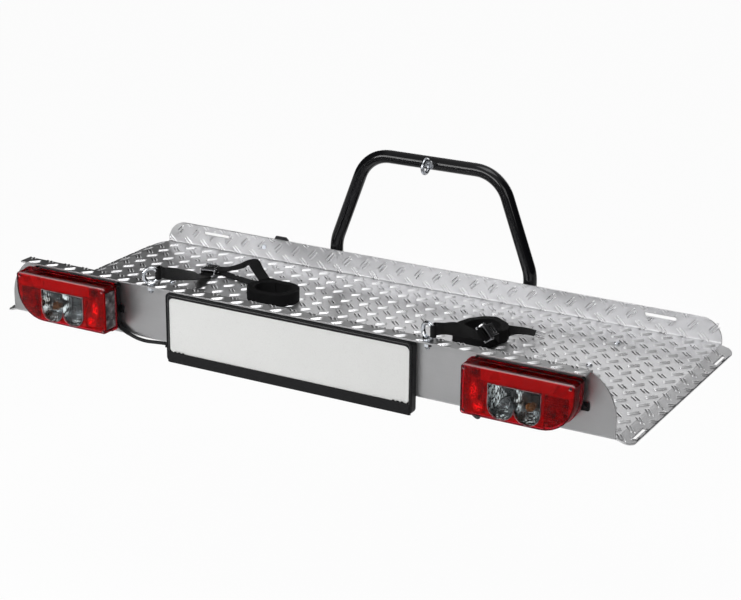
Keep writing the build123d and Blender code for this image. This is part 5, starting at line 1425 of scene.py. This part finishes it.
def strap(name, stations, sizes, *replaced, closed=False):
    """A woven band with soft selvedges through filled stations, with its UV in metres."""
    thick, full = sizes.web_thick, sizes.web_width
    wave = 0.0012 if closed else 0.0
    frames = strap_frames(stations, closed)
    half = [(0.17, 0.86), (0.5, 0.86), (0.8, 0.9), (0.93, 1.0), (0.985, 0.8), (1.0, 0.35)]
    upper = [(-across, high) for across, high in half[::-1]] + half
    section = upper + [(across, -high) for across, high in upper[::-1]]
    bm = bmesh.new()
    layer = bm.loops.layers.uv.new("web")
    rings = []
    for place, level, outward, width, far in frames:
        crowd = max(1 - width / full, 0.0)
        ring = []
        for across, high in section:
            ripple = math.cos(across * math.pi * 1.6) * crowd * wave
            lift = outward * (high * thick / 2 + ripple)
            ring.append(bm.verts.new(place + level * (across * width / 2) + lift))
        rings.append((ring, far))
    if closed:
        rings.append((rings[0][0], frames[-1][4] + (frames[-1][0] - frames[0][0]).length))
    for (first, low), (second, high) in zip(rings, rings[1:]):
        for k in range(len(section)):
            j = (k + 1) % len(section)
            face = bm.faces.new((first[k], second[k], second[j], first[j]))
            near, far = ((section[i][0] + 1) * full / 2 for i in (k, j))
            for loop, place in zip(face.loops, ((low, near), (high, near), (high, far), (low, far))):
                loop[layer].uv = place
    if not closed:
        bm.faces.new(rings[0][0][::-1])
        bm.faces.new(rings[-1][0])
    return show(linked(name, closed_mesh(name, bm, 50)), "webbing", "webbing", *replaced)


class Buckle:
    """A buckle's own directions: along the strap, across it and up from its back."""

    def __init__(self, place, along, up):
        self.place, self.along, self.up = spot(*place), Vector(along).normalized(), Vector(up).normalized()
        self.across = self.up.cross(self.along).normalized()

    def at(self, along, across, up):
        """A place in metres from millimetres."""
        return self.place + (self.along * along + self.across * across + self.up * up) / 1000

    def through(self):
        """The stations of a strap that goes under the cam."""
        return [(self.at(along, 0, 3.3), self.across, WEB) for along in (-7, 17)]


BUCKLES = {
    "left": Buckle((-432, 372, 6), (-0.1, 0.995, 0), (0, 0, 1)),
    "right": Buckle((272, 262, 38), (0.04, 0.995, -0.116), (0.723, 0.049, 0.661)),
}
# The run from each ring to its buckle: the ring's turn, the chord, and (place, lean, width)
RUNS = {
    "left": (36, (-0.33, 0.88, -0.33), [
        ((-303, 30, 130), 0, 0.021), ((-338, 100, 102), 12, WEB), ((-373, 200, 65), 34, WEB),
        ((-407, 300, 29), 62, WEB), ((-424, 338, 13), 82, WEB)]),
    "right": (-22, (-0.11, 0.92, -0.37), [
        ((304, 30, 129), 0, 0.021), ((290, 100, 104), 10, WEB), ((280, 170, 75), 26, WEB)]),
}


def doubled_run(side, thick):
    """The closed sling from the ring's wire to the buckle's front bar, and its middle's frames."""
    buckle = BUCKLES[side]
    turn, chord, rows = RUNS[side]
    turn = math.radians(turn)
    ring = Vector((-RING_X if side == "left" else RING_X, FRONT_Y - RING_FRONT, RING_Z))
    arm = ring + Vector((math.cos(turn), math.sin(turn), 0)) * RING_RADIUS + UP * 0.0035
    bar = buckle.at(-13, 0, 2)
    level = Vector((bar.x - arm.x, bar.y - arm.y, 0)).normalized()
    first = (arm + level * 0.0105, UP, 0.0235)
    last = (bar - buckle.along * 0.0085, buckle.across, WEB)
    middle = [leaned(place, lean, chord, width) for place, lean, width in rows]
    frames = strap_frames(smooth_stations([first, *middle, last], 9))
    aside = thick / 2 + 0.0002
    out, back = ([(place + outward * way, across, width) for place, across, outward, width, _ in frames]
                 for way in (aside, -aside))
    near, far = frames[0][2], frames[-1][2]
    round_wire = RING_WIRE + WEB_GAP + thick / 2
    round_bar = BUCKLE_BAR + WEB_GAP + thick / 2
    at_bar = [(bar + (far * math.cos(a) + buckle.along * math.sin(a)) * round_bar, buckle.across, WEB)
              for a in (math.pi * k / 6 for k in range(7))]
    at_ring = [(arm - (near * math.cos(a) + level * math.sin(a)) * round_wire, UP, 0.0225)
               for a in (math.pi * k / 8 for k in range(9))]
    return out + at_bar + back[::-1] + at_ring, frames


def wound(centre, outer, straight, hand, end_angle, quarters=28, fill=0.017, thick=0.0016, parts=7):
    """Stations of a strap wound on edge, from its heart outwards; straights widen it."""
    step = fill / quarters
    radius = outer - thick / 2 - step * (quarters - 1)
    angle = end_angle - hand * 90 * quarters
    toward = math.cos(math.radians(angle + hand * 45))
    middle = Vector(centre) + Vector((math.copysign(straight / 2, toward), 0, 0))
    stations = []
    for quarter in range(quarters):
        for k in range(parts + (quarter == quarters - 1)):
            turn = math.radians(angle + hand * 90 * k / parts)
            place = middle + Vector((math.cos(turn), math.sin(turn), 0)) * radius
            place.z += 0.0004 * math.sin(1.7 * turn + quarter) * min(quarters - 1 - quarter, 4) / 4
            stations.append((place, UP, WEB))
        angle += hand * 90
        out = Vector((math.cos(math.radians(angle)), math.sin(math.radians(angle)), 0))
        end = middle + out * radius
        if quarter < quarters - 1:
            if abs(out.y) > 0.5 and straight:
                stations.append((end, UP, WEB))
                end = end + UP.cross(out) * hand * straight
            radius += step
            middle = end - out * radius
    return stations


def pressed(stations, centre, outer, outline):
    """Presses a round roll into an outline; every turn keeps its share of the way from the middle."""
    rim = sorted((math.atan2(p.y - centre.y, p.x - centre.x), math.hypot(p.x - centre.x, p.y - centre.y))
                 for p in outline)
    rim = [(rim[-1][0] - 2 * math.pi, rim[-1][1]), *rim, (rim[0][0] + 2 * math.pi, rim[0][1])]
    made = []
    for place, across, width in stations:
        aside = place - centre
        turn = math.atan2(aside.y, aside.x)
        for (low, near), (high, far) in zip(rim, rim[1:]):
            if low <= turn <= high:
                reach = near + (far - near) * (turn - low) / max(high - low, 1e-9)
                break
        share = reach / outer
        made.append((centre + Vector((aside.x * share, aside.y * share, aside.z)), across, width))
    return made


def frayed_end(name, place, travel, across, count=9):
    """Loose threads at a strap's cut end."""
    draw = random.Random(4)
    lines = []
    for k in range(count):
        start = place + across * 0.0115 * (2 * k / (count - 1) - 1)
        drift = across * draw.uniform(-0.25, 0.25) + UP * draw.uniform(-0.05, 0.1)
        reach = draw.uniform(0.008, 0.024)
        lines.append([])
        for share in (step / 3 for step in range(4)):
            drop = UP * -0.003 * share * share
            lines[-1].append(start - travel * 0.002 + (travel + drift * share) * reach * share + drop)
    threads = baked(linked(name, round_lines(name, lines, FRAY_RADIUS, 1)))
    show(threads, "thread", "webbing")


def stitch_tree():
    """Stitches along the carrier's runs: plump threads that lie along the run, a little apart."""
    g = Growth("Stitches", Stitch_Length=0.0026, Thread=0.0004)
    ball = g.add("GeometryNodeMeshUVSphere", {"Segments": 6, "Rings": 4, "Radius": 1.0})
    size = together(g["Thread"], g["Thread"], g["Stitch Length"] * 0.43)
    thread = g.add("GeometryNodeTransform", {"Geometry": ball.out("Mesh"), "Scale": size})
    points = g.add("GeometryNodeCurveToPoints", {"Curve": g["Geometry"], "Length": g["Stitch Length"]},
                   mode="LENGTH")
    return g.finish(g.add("GeometryNodeInstanceOnPoints", {
        "Points": points.out("Points"), "Instance": thread, "Rotation": points.out("Rotation")}))


def stitch_lines(frames, spans, thick, parts=10):
    """Sewn boxes with crosses on both faces of a doubled strap, between distances along it."""

    def on_strap(along, share, face):
        for (place, level, outward, width, far), (there, _, _, _, beyond) in zip(frames, frames[1:]):
            if far <= along <= beyond:
                mid = place.lerp(there, (along - far) / max(beyond - far, 1e-6))
                return mid + level * (share * width / 2) + outward * face * (thick + WEB_GAP)
        return frames[-1][0]

    runs = []
    for low, high in spans:
        a, b, c, d = (low, -0.8), (high, -0.8), (high, 0.8), (low, 0.8)
        for face in (-1, 1):
            for (u, v), (end_u, end_v) in ((a, b), (b, c), (c, d), (d, a), (a, c), (b, d)):
                runs.append([on_strap(u + (end_u - u) * t, v + (end_v - v) * t, face)
                             for t in (k / parts for k in range(parts + 1))])
    return line_carrier("stitch_lines", runs)


def rolled(coil, feed):
    """A roll's stations from its heart to its rim, then back along the smooth feed to the buckle."""
    return coil + smooth_stations(feed)[-2::-1]


class CARGO_OT_straps(bpy.types.Operator):
    """Weave both lashing straps: the doubled runs, the rolls, the tails and their stitches"""

    bl_idname = "cargo.straps"
    bl_label = "Lashing straps"

    def execute(self, context):
        sizes = context.scene.cargo_sizes
        sewing = stitch_tree()
        for side in ("left", "right"):
            sling, frames = doubled_run(side, sizes.web_thick)
            strap(side + "_strap_sling", sling, sizes, side + "_strap_run", closed=True)
            end = frames[-1][4]
            lines = stitch_lines(frames, [(0.030, 0.058), (end - 0.034, end - 0.006)], sizes.web_thick)
            grow(side + "_stitches", sewing, lines, "thread", "webbing", Stitch_Length=sizes.stitch_length,
                 Thread=0.00035)

        # Left: from the cam along the deck, folded over to the right and into the roll
        left, right = BUCKLES["left"], BUCKLES["right"]
        laid = [*left.through(), (spot(-435.5, 407, 5), left.across, WEB)]
        strap("left_strap_laid", smooth_stations(laid), sizes, "left_strap_roll")
        coil = wound(roll_spot(-235.5, 315.5), LEFT_ROLL, straight=0.022, hand=1, end_angle=90)
        end = coil[-1][0]
        heading = (0.97, -0.22, 0)
        feed = [leaned((-448, 408, 4.6), 90, heading), leaned((-330, 380, 4.6), 90, heading),
                leaned((-300, 370.5, 10.3), 60, heading), leaned((-278, 365.5, 14.7), 30, heading),
                (end + Vector((-0.030, 0.0004, 0)), UP, WEB), (end, UP, WEB)]
        strap("left_strap_coil", rolled(coil, feed), sizes, "left_strap_roll")
        tail = [leaned((-446, 402, 11.2), 90, (1, 0, 0)), leaned((-412, 402, 13), 82, (1, 0, 0.15)),
                leaned((-380, 400, 24), 72, (0.9, -0.05, 0.3)), leaned((-350, 396, 38), 60, (0.9, -0.2, 0.3)),
                (spot(-330, 389, 46), Vector((0.6, 0.65, 0.35)).normalized(), WEB),
                (spot(-305, 368, 40), Vector((0.7, 0.65, 0.05)).normalized(), WEB),
                (spot(-276, 347, 29.9), Vector((0.7, 0.7, 0)).normalized(), WEB)]
        strap("left_strap_end", smooth_stations(tail), sizes, "left_strap_tail")

        # Right: from the cam down into the roll, which is pressed out of round
        centre = roll_spot(237, 336)
        outline = [spot(*place, 0) for place in rounded([(186, 276, 20), (291, 279, 22), (243, 402, 16),
                                                         (190, 356, 34)])]
        coil = wound(centre, RIGHT_ROLL, straight=0.0, hand=-1, end_angle=0)
        coil = pressed(coil, centre, RIGHT_ROLL, outline)
        end = coil[-1][0]
        feed = [*right.through(), leaned((285, 297, 28), 24, (0.1, 0.8, -0.5)),
                leaned((280.5, 312, 19), 8, (-0.3, 0.95, -0.25)),
                (end + Vector((0.0014, -0.0037, 0)), UP, WEB), (end, UP, WEB)]
        strap("right_strap_coil", rolled(coil, feed), sizes, "right_strap_roll")
        tail = smooth_stations([
            (roll_spot(270.6, 340), UP, WEB), leaned((277, 352, 17.5), 42, (0.5, 0.85, 0)),
            leaned((292, 363, 18.5), 70, (0.8, 0.6, 0)), leaned((311, 371, 18), 78, (0.92, 0.38, 0)),
            leaned((329, 376, 15.5), 84, (0.95, 0.25, -0.15))])
        strap("right_strap_end", tail, sizes, "right_strap_tail")
        place, across, _, _, _ = strap_frames(tail)[-1]
        frayed_end("right_strap_fray", place, (place - tail[-2][0]).normalized(), across)
        return {"FINISHED"}


# Cables: each route is the line that the cable follows, in millimetres
LEFT_ROUTE = [(-380, -6, 14.4), (-368, -6, 7), (-355, -6, 2.2), (-341, -5, -2), (-326, 1.5, -6.2),
              (-311, 8, -7.2), (-296, 14, -8.2), (-281, 22, -11), (-270, 36, -15), (-270, 52, -15)]
RIGHT_ROUTE = [(398, -8, 18.5), (398, -8, 4), (396.5, -5.5, -7), (390, 2, -14), (378, 13, -15.5),
               (358, 28, -12), (330, 44, -7.5), (278, 62, -5.6), (195, 76, -6.6), (105, 83, -5.6),
               (10, 92, -6.6), (-75, 95, -5.8), (-135, 98, -9), (-176, 100, -15), (-202, 100, -15)]
PLUG_ROUTE = [(-357, 571, -72), (-357, 571, -96), (-356, 557, -119), (-353, 531, -131), (-349, 502, -126),
              (-345, 478, -106), (-341, 463, -78), (-336, 448, -56), (-327, 418, -46.5), (-310, 370, -44.6),
              (-291, 321, -45.4), (-277, 277, -44.6), (-264, 238, -33), (-254, 202, -19), (-250, 172, -15),
              (-250, 148, -15)]
GUARD_LENGTH = 0.020
GUARD_WIDE = 0.0058
GUARD_NARROW = 0.0039
GUARD_RIBS = 5


def line_of(cable):
    """The points that a cable's line goes through, read from the curve without its thickness."""
    bare = cable.data.copy()
    bare.bevel_depth = 0.0
    probe = linked("probe", bare)
    mesh = bpy.data.meshes.new_from_object(probe.evaluated_get(bpy.context.evaluated_depsgraph_get()))
    points = [vertex.co.copy() for vertex in mesh.vertices]
    bpy.data.objects.remove(probe)
    return points


def bend_guard(name, points, sides=20):
    """A tapered and ribbed guard along the first part of a cable's line."""
    far = 0.0
    rings = []
    aside = None
    for before, here in zip(points, points[1:]):
        run = (here - before).length
        travel = (here - before).normalized()
        count = max(int(run / 0.0005), 1)
        for k in range(count):
            share = (far + run * k / count) / GUARD_LENGTH
            if share > 1:
                continue
            aside = travel.orthogonal() if aside is None else aside - travel * aside.dot(travel)
            aside = aside.normalized()
            other = travel.cross(aside)
            wave = 0.5 + 0.5 * math.cos(2 * math.pi * GUARD_RIBS * share)
            groove = 0.0 if share < 0.04 else 0.0007 * (1 - wave) * (1.2 - share)
            radius = GUARD_WIDE + (GUARD_NARROW - GUARD_WIDE) * share - groove
            rings.append([before.lerp(here, k / count) + (aside * math.cos(a) + other * math.sin(a)) * radius
                          for a in (2 * math.pi * i / sides for i in range(sides))])
        far += run
    show(lofted(name, rings), "black_plastic", "black_plastic")


class CARGO_OT_cables(bpy.types.Operator):
    """Lay the two lamp cables and the plug lead, with their tapered bend guards"""

    bl_idname = "cargo.cables"
    bl_label = "Cables"

    def execute(self, context):
        width = context.scene.cargo_sizes.cable_width
        runs = [("left_cable", LEFT_ROUTE, "left_lamp_cable", 0.142, "object", 0, {}),
                ("right_cable", RIGHT_ROUTE, "right_lamp_cable", 0.649, "object", 0, {}),
                ("plug_cable", PLUG_ROUTE, "plug_lead", 0.515, "plug", -1, {"with_pieces": [nodes["plug"]]})]
        for name, route, node, long, far_end, start, extra in runs:
            cable = linked(name, round_lines(name, [[spot(*place) for place in route]], width / 2, 4))
            cable.data.resolution_u = 10
            show(cable, "cable_rubber", "cable_black", node)
            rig.cord(cable, exit=spot(*route[start]), length=long, diameter=width, far_end=far_end,
                    stiffness="medium", lay="loose", **extra)
            line = line_of(cable)
            bend_guard(name + "_start_guard", line)
            bend_guard(name + "_end_guard", line[::-1])
        return {"FINISHED"}


def swept_bead(name, path, radius, finish, steps=8):
    """A half-round bead along a path, standing out to the front."""
    out = Vector((0, -1, 0))
    rings = []
    for i, place in enumerate(path):
        travel = (path[min(i + 1, len(path) - 1)] - path[max(i - 1, 0)]).normalized()
        aside = travel.cross(out).normalized()
        rings.append([place + aside * radius * math.cos(a) + out * radius * math.sin(a)
                      for a in (math.pi * k / steps for k in range(steps + 1))])
    show(lofted(name, rings), finish, "black_plastic")


class CARGO_OT_plate(bpy.types.Operator):
    """Dress the blank number plate and add the holder's beads and catches"""

    bl_idname = "cargo.plate"
    bl_label = "Number plate and holder"

    def execute(self, context):
        dress("number_plate", "number_plate")
        low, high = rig.box("plate_holder")
        foot = low.z + 0.020

        # Two beads go up the left side, along the top and down the right side
        beads = [("holder_outer_bead", 0.0017, 0.0095, 0.0012, "black_plastic"),
                 ("holder_inner_bead", 0.0055, 0.0065, 0.0009, "gloss_plastic")]
        for name, inset, radius, bead, finish in beads:
            left, right, top = low.x + inset, high.x - inset, high.z - inset
            path = [(left, foot), *arc(left + radius, top - radius, radius, math.pi, math.pi / 2, 8),
                    *arc(right - radius, top - radius, radius, math.pi / 2, 0, 8), (right, foot)]
            swept_bead(name, [Vector((x, low.y, z)) for x, z in path], bead, finish)

        # Three small catches at each end of the strip lap over the plate's lower edge
        strip_low, strip_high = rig.box("plate_strip")
        bm = bmesh.new()
        for x in (-0.247, -0.238, -0.229, 0.229, 0.238, 0.247):
            for vertex in bmesh.ops.create_cube(bm, size=1.0)["verts"]:
                vertex.co = Vector((x + vertex.co.x * 0.0045, strip_low.y + 0.0006 + vertex.co.y * 0.0010,
                                    strip_high.z + 0.0006 + vertex.co.z * 0.0036))
        bmesh.ops.bevel(bm, geom=bm.edges[:], offset=0.0003, segments=2, affect="EDGES", clamp_overlap=True)
        catches = linked("strip_catches", closed_mesh("strip_catches", bm))
        show(catches, "black_plastic", "black_plastic", body="plate_strip")
        return {"FINISHED"}


class CARGO_PT_panel(bpy.types.Panel):
    """Lists the platform's pieces, sizes and colours"""

    bl_idname = "CARGO_PT_panel"
    bl_label = "Hitch cargo platform"
    bl_space_type = "VIEW_3D"
    bl_region_type = "UI"
    bl_category = "Platform"

    def draw(self, context):
        layout = self.layout
        for step in STEPS:
            layout.operator(step.bl_idname)
        for title, group in (("Sizes", context.scene.cargo_sizes), ("Colours", context.scene.cargo_colours)):
            box = layout.box()
            box.label(text=title)
            for name in group.__annotations__:
                box.prop(group, name)


STEPS = [CARGO_OT_finishes, CARGO_OT_stage, CARGO_OT_cables, CARGO_OT_deck, CARGO_OT_carrier, CARGO_OT_lamps,
         CARGO_OT_plate, CARGO_OT_straps]
CLASSES = [CargoSizes, CargoColours, *STEPS, CARGO_PT_panel]


def register():
    for kind in CLASSES:
        bpy.utils.register_class(kind)
    bpy.types.Scene.cargo_sizes = PointerProperty(type=CargoSizes)
    bpy.types.Scene.cargo_colours = PointerProperty(type=CargoColours)


def unregister():
    del bpy.types.Scene.cargo_colours
    del bpy.types.Scene.cargo_sizes
    for kind in reversed(CLASSES):
        bpy.utils.unregister_class(kind)


def main():
    register()
    bpy.ops.cargo.finishes()
    bpy.ops.cargo.stage()
    bpy.ops.cargo.cables()
    bpy.ops.cargo.deck()
    bpy.ops.cargo.carrier()
    bpy.ops.cargo.lamps()
    bpy.ops.cargo.plate()
    bpy.ops.cargo.straps()
    boxes = {"cad": [list(corner) for corner in cad_box], "visual": [list(corner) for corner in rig.bounds()]}
    with open("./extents.json", "w") as file:
        json.dump(boxes, file)


if __name__ == "__main__":
    main()
